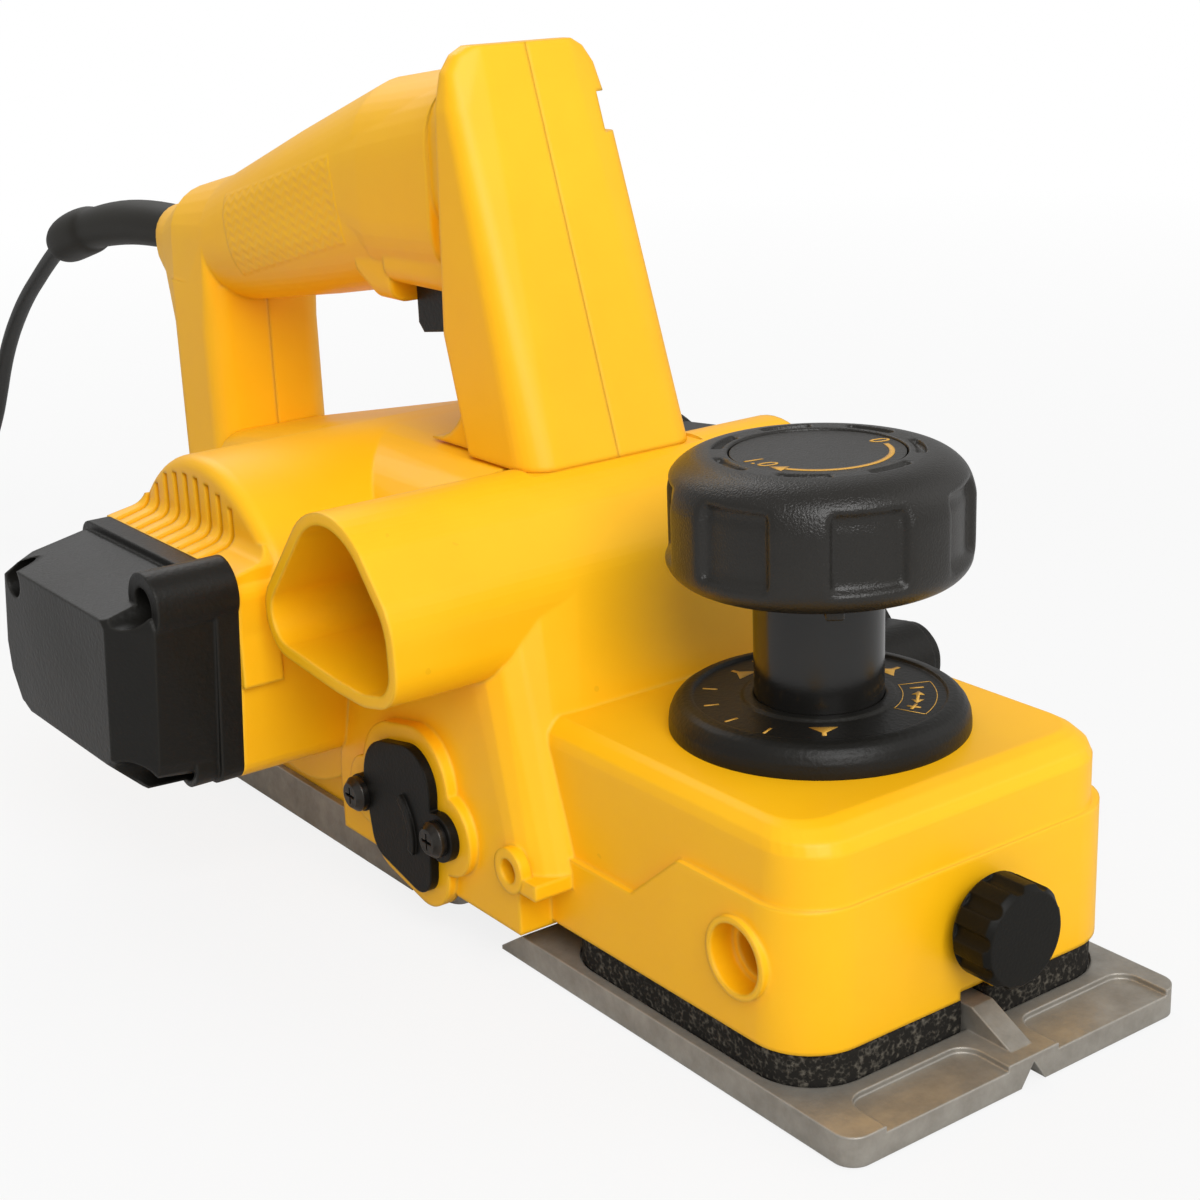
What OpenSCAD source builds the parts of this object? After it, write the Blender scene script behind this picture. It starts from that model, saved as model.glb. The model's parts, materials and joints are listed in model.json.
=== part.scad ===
// Electric hand planer, 82 mm wide, built as separate pieces.
// +Z is up, the front of the tool looks along -Y, and the sole lies on z = 0.
// The origin is on the rear shoe's sole, half way along the tool and on its centre line.

/* [Shoes] */
// Width of both shoes
shoe_w = 82; // [76:1:92]
// Length over both shoes
shoe_l = 290; // [280:1:310]
// Length of the front shoe at the sole
front_shoe_l = 102; // [98:1:106]
// Thickness of the front shoe's lip
shoe_lip = 5.6; // [5:0.1:6.5]
// Height of the rear shoe's side walls
rear_shoe_h = 10; // [9:0.5:11]
// Largest depth of cut, the travel of the front shoe
cut_depth = 1; // [0.5:0.1:1.2]
// Width of the chamfering groove in the front sole
groove_w = 6; // [5:0.5:8]

/* [Cutter] */
// Radius of the circle that the blades' edges cut
cut_r = 23.5; // [23:0.1:24.5]
// Gap in the sole ahead of the cutter's axis
throat_in = 24; // [23:0.5:26]
// Gap in the sole behind the cutter's axis
throat_out = 10.5; // [10:0.5:13]
// Radius of the drum's body
drum_r = 21.5; // [21:0.1:22]
// Thickness of a blade
blade_t = 1.1; // [0.9:0.1:1.4]

/* [Housing] */
// Width of the nose
nose_w = 78; // [74:1:80]
// Height of the nose's flat top
nose_top = 52.6; // [51:0.2:54]
// Wall beside the drum's right-hand end
side_wall = 4.8; // [4.4:0.2:6]
// Mouth of the chip outlet, from the centre line
outlet_x = 66; // [60:1:72]
// Wall of the chip outlet
outlet_wall = 2.4; // [1.8:0.2:3]
// Radius of the motor barrel
barrel_r = 38; // [37.5:0.25:39]
// Height of the motor's axis above the sole
motor_z = 53; // [52:0.5:54]
// Outer face of the motor's end cap, from the centre line
cap_face_x = 95; // [92:1:100]
// Depth of the belt cover
cover_depth = 20; // [19:0.5:23]

/* [Handle] */
// Height of the handle's column
column_top = 172.4; // [168:0.5:178]
// Width of the column at its foot
column_w = 42; // [40:1:44]
// Width of the grip
grip_w = 32; // [30:1:34]
// Travel of the trigger
trigger_travel = 4.5; // [3:0.5:5]

/* [Controls] */
// Radius of the depth knob's cap
knob_r = 28; // [26:0.5:30]
// Height of the depth knob's top above the sole
knob_top = 104.4; // [102:0.5:110]
// Number of finger pockets round the cap
knob_pockets = 7; // [5:1:9]
// Radius of the knob's post
post_r = 12; // [11:0.25:12.5]
// Radius of the fence rod's hole
rod_r = 5; // [4:0.25:5.5]
// Radius of the fence clamp's knob
clamp_r = 9.6; // [8.5:0.1:10.4]

/* [Cord] */
// Diameter of the cord
cord_d = 5; // [4:0.5:6]
// Outer radius of the stored coil
coil_r = 36; // [34:1:40]

/* [Hidden] */
$fn = 64;

// Running clearance of a shaft in its bore, and play between parts that only pass
run = 0.05;
play = 0.3;

// Stations along the tool
front_y = -shoe_l / 2;
rear_y = shoe_l / 2;
throat_y = front_y + front_shoe_l;
drum_y = throat_y + throat_in;
drum_z = cut_r;
rear_lip_y = drum_y + throat_out;
motor_y = drum_y + 52;
knob_y = front_y + 52.7;
motor_c = [motor_y, motor_z];
drum_c = [drum_y, drum_z];

// Nose
nose_front = front_y + 13;
nose_back = drum_y - 37;
nose_r = 12;
nose_step = 1.2;
nose_side = 1.6;
foam_top = 11.7;
foam_bottom = 4.3;
ledge_z = 38.5;
ledge_low_z = 27;
chamfer_z = nose_top - 4.6;
plateau_in = 3.4;
plateau_front = 6;
groove_x = 2;
boss_y = nose_front + 17.1;
boss_z = 26.5;
rod_boss_r = 7.6;
rod_mouth_r = 6.4;

// Front shoe's guide block and its pocket in the nose
block_w = 52;
block_front = boss_y + rod_r + 4.6;
block_back = knob_y + 24;
block_top = 24;
spring_x = 20;
spring_r = 4.6;
spring_seat = 4;
spring_top = 38;

// Drum housing and chip outlet
case_front = drum_y - 47.5;
case_back = drum_y + 28;
case_bottom = 10.8;
chamber_r = cut_r + 2.4;
chamber_x = shoe_w / 2 + 0.6;
case_side = chamber_x + side_wall;
case_left = chamber_x + 2.4;
deck_w = shoe_w - 3;
deck_top = 30;

// Circles round the chip outlet's section: along, up, radius
outlet_top = [drum_y - 10.5, 75, 17.6];
outlet_front = [drum_y - 19, 71, 13.8];
outlet_low = [drum_y - 24.5, 66.7, 8.4];
outlet_rear = [drum_y + 8.5, 67.5, 8.3];

// Motor bay
bay_front = motor_y - 31.5;
bay_back = motor_y + 34;
bay_bottom = 28.5;
bay_top = 74;
bay_lean = 4.5;
bay_x = 70;
barrel_x = 62;
bore_r = 32;
fan_r = 23.5;
spine_w = 32;
vent_pitch = 5.1;
vent_w = 2.1;

// Handle
column_foot = 91.9;
column_front_foot = drum_y - 14;
column_lean = 0.3478;
column_back = drum_y + 19;
column_knee = 116;
column_back_lean = 0.33;
column_round = 7;
post_front = motor_y + 82.5;
post_back = post_front + 26;
post_foot = 62;
post_w = 32;
gland_y = post_back + 19.5;
// Top and bottom of the grip at each station along the tool
grip_at = [[column_back + 8, 127, 168.2], [motor_y + 6, 118.8, 164.4],
    [motor_y + 43, 112.6, 152.6], [post_front + 2, 106.3, 138.6]];

// Depth knob
ring_r = 27.9;
ring_h = 6;
cap_bottom = knob_top - 23;
spindle_r = 4;
spigot_r = 8;
clip_z = nose_top - 10.2;

// Fence clamp
clamp_x = 2.5;
clamp_y = nose_front - 0.4;
clamp_len = 9.6;

// Belt side
belt_x = case_left + 6;
belt_w = 9;
cover_face_x = case_left + cover_depth;
drum_pulley_r = 15;
motor_pulley_r = 11;
bracket_t = 4;

// Bearings: outer radius, bore radius, width
small_bearing = [11, 4, 7];
large_bearing = [14, 6, 8];
end_bearing = [9.5, 3, 6];

// Cord's route from the boot's collar to the coil, by hand
cord_route = [[0, 246.5, 107.7], [0, 254, 104.2], [0, 262, 99.8], [0, 271, 94.4], [0, 282, 87.5],
    [0, 292.5, 79.6], [0, 302.5, 70.6], [0, 311, 61], [0, 318, 51.3], [-0.5, 324.5, 41.3], [-2, 331.5, 31],
    [-5, 339, 21], [-10, 347, 13], [-15, 355, 9], [-20, 363, 8], [-25, 370.5, 8], [-29, 377, 8]];
coil_c = [-45, 400];

// ---------- helpers ----------
module along_x(x0, x1) {
    translate([x0, 0, 0]) rotate([90, 0, 90]) linear_extrude(x1 - x0) children();
}
module along_y(y0, y1) {
    translate([0, y1, 0]) rotate([90, 0, 0]) linear_extrude(y1 - y0) children();
}
module along_z(z0, z1) {
    translate([0, 0, z0]) linear_extrude(z1 - z0) children();
}
module rod_x(x0, x1, c, r) {
    translate([x0, c[0], c[1]]) rotate([0, 90, 0]) cylinder(r = r, h = x1 - x0);
}
module rod_y(y0, y1, x, z, r) {
    translate([x, y1, z]) rotate([90, 0, 0]) cylinder(r = r, h = y1 - y0);
}
module rod_z(z0, z1, x, y, r) {
    translate([x, y, z0]) cylinder(r = r, h = z1 - z0);
}
module block(x, y, z) {
    translate([x[0], y[0], z[0]]) cube([x[1] - x[0], y[1] - y[0], z[1] - z[0]]);
}
// A rectangle from corner a to corner b with rounded corners
module soft_rect(a, b, r) {
    translate([a[0] + r, a[1]]) square([b[0] - a[0] - 2 * r, b[1] - a[1]]);
    translate([a[0], a[1] + r]) square([b[0] - a[0], b[1] - a[1] - 2 * r]);
    for (x = [a[0] + r, b[0] - r], y = [a[1] + r, b[1] - r]) translate([x, y]) circle(r);
}
module ring_x(x0, x1, c, r_out, r_in) {
    difference() {
        rod_x(x0, x1, c, r_out);
        rod_x(x0 - 1, x1 + 1, c, r_in);
    }
}
module turn_x(x, c) {
    translate([x, c[0], c[1]]) rotate([0, 90, 0]) rotate_extrude() children();
}
// A pan-head screw along +Z with its head's seat at z = 0 and a cross recess
module pan_screw(head_r, head_h, shank_r, length) {
    difference() {
        union() {
            rotate_extrude() polygon([[0, -length], [shank_r, -length], [shank_r, 0], [head_r, 0],
                [head_r, head_h * 0.5], [head_r * 0.7, head_h], [0, head_h]]);
        }
        for (a = [0, 90]) rotate([0, 0, a])
            translate([-head_r * 0.5, -0.35, head_h * 0.45]) cube([head_r, 0.7, head_h]);
    }
}
// A helical compression spring along +Z
module coil_spring(r, wire, turns, height) {
    sides = 6;
    steps = 14;
    count = turns * steps;
    ring = [for (i = [0:count]) let (a = 360 * i / steps, z = wire + (height - 2 * wire) * i / count)
        for (s = [0:sides - 1]) let (q = 360 * s / sides)
            [(r + wire * cos(q)) * cos(a), (r + wire * cos(q)) * sin(a), z + wire * sin(q)]];
    sweep_faces(ring, sides, count + 1);
}
// Closes rings of points into one solid
module sweep_faces(points, sides, rings) {
    polyhedron(points, concat(
        [[for (s = [0:sides - 1]) s]],
        [for (i = [0:rings - 2], s = [0:sides - 1]) let (t = (s + 1) % sides)
            [i * sides + s, (i + 1) * sides + s, (i + 1) * sides + t, i * sides + t]],
        [[for (s = [sides - 1:-1:0]) (rings - 1) * sides + s]]), convexity = 8);
}
function unit(v) = v / norm(v);
function tangent(path, i) = unit(path[min(i + 1, len(path) - 1)] - path[max(i - 1, 0)]);
// A round tube along a list of points, with one radius a point
module tube_of(path, radii, sides) {
    rings = [for (i = [0:len(path) - 1])
        let (t = tangent(path, i), u = unit(cross(t, [1, 0.1, 0])), v = cross(t, u))
        for (s = [0:sides - 1]) let (q = 360 * s / sides)
            path[i] + radii[i] * (cos(q) * v + sin(q) * u)];
    sweep_faces(rings, sides, len(path));
}
module tube_along(path, r, sides) {
    tube_of(path, [for (p = path) r], sides);
}

// ---------- main housing ----------
// The nose seen from above, drawn in by inset at the sides and by inset + front ahead
module nose_plan(inset = 0, front = 0, side = 0) {
    w = nose_w / 2 - inset;
    y = nose_front + inset + front;
    r = nose_r - inset;
    translate([-w, y + r]) square([2 * w + side, nose_back - y - r]);
    translate([-w + r, y]) square([2 * (w - r) + side, nose_back - y]);
    for (x = [-w + r, w - r + side]) translate([x, y + r]) circle(r);
}
module nose() {
    intersection() {
        along_z(foam_top, ledge_z) nose_plan(0, nose_step - 0.3, nose_side);
        along_x(-nose_w, nose_w) polygon([[nose_front - 1, 0], [nose_front - 1, ledge_z],
            [knob_y - 6, ledge_z], [knob_y + 8, ledge_low_z], [nose_back + 1, ledge_low_z],
            [nose_back + 1, 0]]);
    }
    along_z(foam_top, chamfer_z) nose_plan(nose_step);
    hull($fn = 32) {
        along_z(chamfer_z - 0.2, chamfer_z) nose_plan(nose_step, $fn = 32);
        along_z(chamfer_z + 1.8, chamfer_z + 2) nose_plan(nose_step + 0.5, 0.5, $fn = 32);
        along_z(nose_top - 1, nose_top - 0.8) nose_plan(nose_step + 2.1, 1.6, $fn = 32);
        along_z(nose_top - 0.2, nose_top)
            nose_plan(nose_step + plateau_in, plateau_front - plateau_in, $fn = 32);
    }
    for (s = [-1, 1]) rod_x(s < 0 ? -nose_w / 2 - 1.2 : 0, s < 0 ? 0 : nose_w / 2 + 3,
        [boss_y, boss_z], rod_boss_r);
}
// The chip outlet's section
module outlet_shape(inset) {
    hull($fn = 48)
        for (c = [outlet_top, outlet_front, outlet_low, outlet_rear])
            translate([c[0], c[1]]) circle(c[2] - inset);
}
// Drum housing seen from above at its widest
module case_plan() {
    polygon(concat([for (a = [180:15:270]) [-case_side + 10, case_front + 10] + 10 * [cos(a), sin(a)]],
        [[nose_w / 2 - 2, case_front], [case_left, case_front + 5.5], [case_left, case_back],
            [-case_side, case_back]]));
}
// Outline of the black plate over the drum's right-hand bearing
module plate_shape(grow) {
    hull($fn = 48) {
        translate(drum_c + [0, 5.5]) circle(11 + grow);
        translate(drum_c + [-7, 9.3]) circle(8.6 + grow);
        translate(drum_c + [3.5, -5.5]) circle(5.6 + grow);
        translate(drum_c + [-8.5, -8.3]) circle(5.6 + grow);
    }
    translate(plate_screws[0]) circle(4.4 + grow);
    translate(plate_screws[1]) circle(5.4 + grow);
    translate(drum_c + [-12, 1.2]) square([10, 10.4 + grow * 2], center = true);
}
plate_screws = [drum_c + [12.6, 1.2], drum_c + [-17.4, 1.2]];
plate_x = case_side + 2;
// The motor bay's section at one height of its top, leaning at the front
module bay_shape(top, inset = 0, corner = 5) {
    r = 5 - inset;
    polygon(concat(
        [for (a = [180:15:270]) [bay_front + bay_lean + corner, bay_bottom + corner] + (corner - inset) * [cos(a), sin(a)]],
        [for (a = [270:15:360]) [bay_back - 5, bay_bottom + 5] + r * [cos(a), sin(a)]],
        [for (a = [0:15:90]) [bay_back - 5, top - 5] + r * [cos(a), sin(a)]],
        [for (a = [90:15:180]) [bay_front + 5, top - 5] + r * [cos(a), sin(a)]]));
}
// All that lies ahead of the motor bay's leaning front and below its bottom
module beyond_bay(inset) {
    polygon([[-100, 200], [bay_front + inset, 200], [bay_front + inset, bay_top - 5],
        [bay_front + bay_lean + inset, bay_bottom + 5], [bay_front + bay_lean + 1.5 + inset, bay_bottom + 1.5 + inset],
        [bay_front + bay_lean + 5, bay_bottom + inset], [200, bay_bottom + inset], [200, -50], [-100, -50]]);
}
module housing_solid() {
    nose();
    along_x(-outlet_x, case_left) outlet_shape(0);
    // drum housing, its slanted front meeting the outlet's tube
    hull() {
        along_z(24, 24.2) case_plan();
        for (c = [outlet_top, outlet_front], q = [[22, 0], [13, 0.7], [8, 2], [4.6, 4.4], [2.8, 8]])
            rod_x(-case_side + q[0], case_left, c, c[2] - q[1]);
        block([-case_side + 3, case_left], [case_back - 12, case_back], [24, 58]);
    }
    block([-case_side, case_left], [case_front + 8, case_back], [case_bottom, 24.2]);
    block([-case_side - 1.2, -nose_w / 2 + 1], [case_front + 0.5, case_front + 9], [21, 24.1]);
    rod_x(-case_side - 1.6, -case_side + 1, stop_c, 4.6);
    along_x(-plate_x, -case_side + 1) plate_shape(3.2);
    // motor barrel with its rounded end, the bay for the end cap and the cove between them
    difference() {
        turn_x(-barrel_x, motor_c) polygon(concat([[0, 0], [barrel_r - 3, 0]],
            [for (a = [-75:15:0]) [barrel_r - 3 + 3 * cos(a), 3 + 3 * sin(a)]],
            [[barrel_r, barrel_x + case_left], [0, barrel_x + case_left]]));
        along_x(-barrel_x - 1, -case_side + 2.5) beyond_bay(0.15);
    }
    along_x(-bay_x, -case_side + 5) bay_shape(bay_top);
    intersection() {
        rod_x(-bay_x, -barrel_x + 1, motor_c, barrel_r - 0.5);
        along_y(bay_front + 1, bay_back - 1) polygon(concat(
            [[-barrel_x + 1, 50], [-bay_x + 0.1, 50], [-bay_x + 0.1, bay_top - 0.1], [-barrel_x - 2.6, bay_top + 1.2]],
            [for (a = [-75:15:0]) [-barrel_x - 3 + 3 * cos(a), bay_top + 4.2 + 3 * sin(a)]],
            [[-barrel_x + 1, bay_top + 4.2]]));
    }
    // deck on the rear shoe, and the spine that carries the handle's post
    block([-deck_w / 2, deck_w / 2], [case_back - 5, rear_y - 3], [rear_shoe_h, deck_top]);
    block([-spine_w / 2, spine_w / 2], [bay_back - 10, post_back], [deck_top - 1, post_foot]);
    difference() {
        hull() {
            along_y(outlet_top[0] + 8, outlet_top[0] + 8.2) spine_section(16, 38, 74, column_foot);
            along_y(motor_y + 5, motor_y + 5.2) spine_section(14, 32, 80, motor_z + barrel_r - 0.2);
            along_y(post_front + 8, post_front + 8.2) spine_section(10, spine_w / 2, post_foot + 4.4, post_foot + 10.4);
        }
        block([-40, 40], [post_front - 0.3, post_back], [post_foot, 100]);
    }
}
// The spine's section: half width of its flat top, half width below, height of the sides, height of the top
module spine_section(flat, w, z, top) {
    polygon(concat([[-w, 50]], [for (a = [0:15:90]) [-flat - (w - flat) * cos(a), z + (top - z) * sin(a)]],
        [for (a = [90:-15:0]) [flat + (w - flat) * cos(a), z + (top - z) * sin(a)]], [[w, 50]]));
}
stop_c = [case_front + 9, 24.5];
// L-shaped air slots down the barrel's end and out over the bay
module vents() {
    for (i = [0:8]) {
        y = motor_y - 14.7 + i * vent_pitch;
        top = max(bay_top + 4.7, motor_z + min(sqrt(pow(barrel_r - 4.5, 2) - pow((y - motor_y - 3) * 0.85, 2)),
            sqrt(pow(barrel_r - 2.6, 2) - pow(y - motor_y, 2))));
        along_y(y - vent_w / 2, y + vent_w / 2) polygon([[-barrel_x - 7.5, bay_top - 1.4],
            [-barrel_x - 1, bay_top - 2.6], [-barrel_x + 2, bay_top - 0.6], [-barrel_x + 3.4, bay_top + 3],
            [-barrel_x + 3.4, top - 1], [-barrel_x - 1, top + 0.8],
            [-barrel_x - 5, top], [-barrel_x - 5, bay_top + 2], [-barrel_x - 7.5, bay_top + 2]]);
    }
}
module main_housing() {
    $fn = 48;
    color("gold") difference() {
        housing_solid();
        // seat of the column
        block([-column_w / 2 - play, column_w / 2 + play],
            [column_front_foot - play, drum_y + 40], [column_foot, 100]);
        // drum chamber, chip channel and outlet
        rod_x(-chamber_x, chamber_x, drum_c, chamber_r);
        along_x(-36, 36) polygon([drum_c + [-23, 12], [outlet_front[0] - 6, outlet_low[1]],
            [outlet_top[0] + 8, outlet_low[1]], drum_c + [5, 20]]);
        along_x(-outlet_x - 1, case_left - 3) outlet_shape(outlet_wall);
        // bearing seats
        rod_x(-plate_x - 1, -chamber_x - 0.5, drum_c, end_bearing[0] + run);
        rod_x(-chamber_x - 1, -chamber_x + 1, drum_c, end_bearing[0] - 2);
        rod_x(chamber_x - 1, case_left + 1, drum_c, large_bearing[0] + 3.2);
        for (c = plate_screws) rod_x(-plate_x - 1, -case_side + 4.2, c, 1.8);
        // motor bore, the fan's way in and the bay
        difference() {
            rod_x(-barrel_x + 2, case_left - 4, motor_c, bore_r);
            along_x(-barrel_x + 1, -case_side + 3) beyond_bay(1.8);
        }
        rod_x(case_left - 5, case_left + 1, motor_c, fan_r + 1);
        along_x(-bay_x - 1, -barrel_x + 2.1) difference() {
            bay_shape(bay_top, 3);
            for (p = cap_screws) translate(p) circle(5);
        }
        vents();
        // pocket of the front shoe's guide block, its springs and the knob's clip
        block([-block_w / 2 - play, block_w / 2 + play],
            [block_front - play, block_back + play], [0, block_top + cut_depth + 0.6]);
        for (s = [-1, 1]) rod_z(block_top, spring_top, s * spring_x, knob_y, spring_r + 1);
        rod_z(block_top, clip_z + 2.2, 0, knob_y, 13);
        rod_z(block_top, nose_top + 1, 0, knob_y, spigot_r + run);
        block([groove_x - 4, groove_x + 4], [nose_front - 1, nose_front + 3], [0, foam_top + 2]);
        // fence rod's hole with its wide mouths, and the clamp screw's hole
        rod_x(-nose_w, nose_w, [boss_y, boss_z], rod_r);
        rod_x(-nose_w, -nose_w / 2 + 4, [boss_y, boss_z], rod_mouth_r);
        rod_x(nose_w / 2 - 4, nose_w, [boss_y, boss_z], rod_mouth_r);
        rod_y(nose_front - 1, boss_y, clamp_x, boss_z, 3 + run);
        // hole of the rebate stop's screw
        rod_x(-case_side - 2, -case_side + 9, stop_c, 2.5);
        // screws of the rear shoe, the covers and the handle
        for (p = shoe_screws) rod_z(0, deck_top - 6, p[0], p[1], 2.1);
        for (p = cap_screws) rod_x(-bay_x - 1, -bay_x + 9.2, p, 1.8);
        for (p = cover_screws) rod_x(case_left - 10, case_left + 1, p, 1.8);
    }
}
shoe_screws = [for (s = [-1, 1], y = [case_back + 6, rear_y - 18]) [s * 29, y]];
cap_screws = [[bay_front + 6, bay_top - 3.5], [bay_back - 8.8, bay_top - 8.3],
    [bay_front + 11, bay_bottom + 5.2], [bay_back - 5.2, bay_bottom + 5]];
cover_screws = [drum_c + [-35.5, 17], motor_c + [32.6, 12.5], [drum_y + 17, motor_z + 14.5], motor_c + [4.5, -34.7]];

// ---------- belt side ----------
// Two circles joined by their outer tangents, which lie a little inside them
module link(c1, r1, c2, r2) {
    d = c2 - c1;
    a = atan2(d[1], d[0]);
    b = acos((r1 - r2) / norm(d));
    s1 = r1 - 0.04;
    s2 = r2 - 0.04;
    translate(c1) circle(r1);
    translate(c2) circle(r2);
    polygon([c1 + s1 * [cos(a + b), sin(a + b)], c1 + s1 * [cos(a - b), sin(a - b)],
        c2 + s2 * [cos(a - b), sin(a - b)], c2 + s2 * [cos(a + b), sin(a + b)]]);
}
module belt_outline(r_drum, r_motor) {
    link(drum_c, r_drum, motor_c, r_motor);
}
module cover_shape(inset) {
    intersection() {
        union() {
            belt_outline(cut_r + 13.5 - inset, barrel_r - 8.5 - inset);
            link([outlet_top[0] + 1.5, outlet_top[1] - 3.5], 13.2 - inset, drum_c, 20 - inset);
            link([outlet_top[0] + 1.5, outlet_top[1] - 3.5], 13.2 - inset, motor_c, 26 - inset);
            link(cover_screws[0], 8.2 - inset, drum_c, 20 - inset);
            for (p = [cover_screws[1], cover_screws[3]]) translate(p) circle(6.5 - inset);
        }
        translate([front_y, 3 + inset]) square([shoe_l, 200]);
    }
}
module bearing_bracket() {
    color("silver") difference() {
        union() {
            along_x(case_left, case_left + bracket_t) belt_outline(17.5, fan_r + 2.8);
            rod_x(chamber_x + 0.4, belt_x, drum_c, large_bearing[0] + 3);
            rod_x(case_left - 4, case_left + bracket_t, motor_c, small_bearing[0] + 3);
        }
        rod_x(chamber_x - 1, belt_x + 1, drum_c, large_bearing[0] + run);
        rod_x(case_left - 5, case_left + bracket_t + 1, motor_c, small_bearing[0] + run);
        // air slots between the ribs
        for (a = [30:60:330]) translate([0, motor_y, motor_z]) rotate([a, 0, 0])
            block([case_left - 1, case_left + bracket_t + 1], [-4, 4], [16, 23.5]);
    }
}
module belt_cover() {
    color("dimgray") difference() {
        union() {
            along_x(case_left, cover_face_x - 4) cover_shape(0);
            along_x(cover_face_x - 4.01, cover_face_x - 2) cover_shape(0.7);
            along_x(cover_face_x - 2.01, cover_face_x - 0.7) cover_shape(2);
            along_x(cover_face_x - 0.71, cover_face_x) cover_shape(4);
        }
        difference() {
            along_x(case_left - 1, cover_face_x - 2) cover_shape(2.6);
            for (p = cover_screws) rod_x(case_left, cover_face_x, p, 4);
        }
        for (p = cover_screws) {
            rod_x(case_left - 1, cover_face_x + 1, p, 1.8);
            rod_x(cover_face_x - 5, cover_face_x + 1, p, 3.6);
        }
    }
}
module belt_cover_screws() {
    color("black") for (p = cover_screws) translate([cover_face_x - 5, p[0], p[1]])
        rotate([0, 90, 0]) pan_screw(3.4, 2.4, 1.7, cover_face_x - 5 - case_left + 9);
}
module drive_belt() {
    color("black") difference() {
        along_x(belt_x + 1, belt_x + 1 + belt_w) belt_outline(drum_pulley_r + 2.8, motor_pulley_r + 2.8);
        along_x(belt_x, belt_x + 2 + belt_w) belt_outline(drum_pulley_r + play, motor_pulley_r + play);
    }
}
// A grooved pulley with a flange on each side of its belt
module pulley(c, r, bore) {
    turn_x(belt_x + 0.4, c) polygon(concat([[bore, 0], [r, 0]],
        [for (i = [0:4]) each [[r, 0.9 + i * 1.8], [r - 1.2, 1.8 + i * 1.8]]],
        [[r, 9.9], [bore, 9.9]]));
}
module drum_pulley() {
    color("silver") pulley(drum_c, drum_pulley_r, 5);
}
module motor_pulley() {
    color("silver") pulley(motor_c, motor_pulley_r, small_bearing[1]);
}
module drum_pulley_nut() {
    color("gray") difference() {
        translate([0, drum_y, drum_z]) rotate([0, 90, 0])
            translate([0, 0, belt_x + 10.3]) cylinder(r = 8, h = 1.2, $fn = 6);
        rod_x(belt_x, cover_face_x, drum_c, 5);
    }
}

// ---------- cutter ----------
blade_rise = cut_r - 0.03;
slot_w = 9;
module cutter_slots(x0, x1) {
    for (a = [0, 180]) translate([0, drum_y, drum_z]) rotate([a + 25, 0, 0])
        block([x0, x1], [0, slot_w], [12.6, 30]);
}
module cutter_drum() {
    color("lightgray") difference() {
        union() {
            rod_x(-shoe_w / 2 + 0.5, shoe_w / 2 - 0.5, drum_c, drum_r);
            rod_x(-plate_x + 0.6, 0, drum_c, end_bearing[1] - run);
            rod_x(-chamber_x + 0.2, 0, drum_c, end_bearing[1] + 2);
            rod_x(0, belt_x + 0.2, drum_c, large_bearing[1] - run);
            rod_x(0, belt_x + 11.6, drum_c, 5 - 0.01);
        }
        cutter_slots(-shoe_w, shoe_w / 2);
    }
}
module planer_blades() {
    color("silver") for (a = [0, 180]) translate([0, drum_y, drum_z]) rotate([a + 25, 0, 0])
        along_x(-shoe_w / 2, shoe_w / 2) polygon([[0.02, 17.9], [blade_t, 17.9],
            [blade_t, cut_r - 1.2], [0.02, cut_r - 0.05]]);
}
module blade_clamps() {
    color("darkgray") for (a = [0, 180]) translate([0, drum_y, drum_z]) rotate([a + 25, 0, 0])
        difference() {
            along_x(-shoe_w / 2 + 1, shoe_w / 2 - 1) polygon([[blade_t + 0.02, 13],
                [slot_w - 0.1, 13], [slot_w - 0.1, 18.5], [slot_w - 2.6, 20.8], [3.4, 21.2],
                [blade_t + 0.02, 20.2]]);
            for (x = [-28, 0, 28]) translate([x, (blade_t + slot_w) / 2, 0])
                cylinder(r = 2.4, h = 30);
        }
}
module blade_screws() {
    color("dimgray") for (a = [0, 180], x = [-28, 0, 28])
        translate([0, drum_y, drum_z]) rotate([a + 25, 0, 0])
            translate([x, (blade_t + slot_w) / 2, 12.65]) difference() {
                cylinder(r = 2.35, h = 7.2);
                translate([0, 0, 4.5]) cylinder(r = 1.4, h = 4, $fn = 6);
            }
}
// A ball bearing: two grooved rings and its balls between them
module bearing(x0, c, size) {
    mid = (size[0] + size[1]) / 2;
    ball = (size[0] - size[1]) * 0.24;
    difference() {
        ring_x(x0, x0 + size[2], c, size[0], size[1]);
        for (x = [x0 - 1, x0 + size[2] - 1]) ring_x(x, x + 2, c, mid + ball, mid - ball);
    }
}
module drum_bearing_right() {
    color("silver") bearing(-plate_x + 0.1, drum_c, end_bearing);
}
module drum_bearing_left() {
    color("silver") bearing(belt_x - large_bearing[2], drum_c, large_bearing);
}
module bearing_plate() {
    color("black") difference() {
        union() {
            along_x(-plate_x - 2, -plate_x - 0.02) plate_shape(-0.4);
            // curved rib
            translate([-plate_x - 2.8, drum_y + 2, drum_z - 2]) rotate([0, 90, 0])
                intersection() {
                    ring(11, 9, 1.6);
                    translate([0, 0, -1]) linear_extrude(6) polygon([[0, 0], [-20, -16], [8, -24]]);
                }
        }
        for (c = plate_screws) rod_x(-plate_x - 4, -plate_x + 1, c, 1.8);
    }
}
module ring(r_out, r_in, h) {
    difference() {
        cylinder(r = r_out, h = h);
        translate([0, 0, -1]) cylinder(r = r_in, h = h + 2);
    }
}
module bearing_plate_screws() {
    color("black") for (c = plate_screws) translate([-plate_x - 2.02, c[0], c[1]])
        rotate([0, -90, 0]) pan_screw(3.7, 2.6, 1.7, 8);
}

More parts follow.
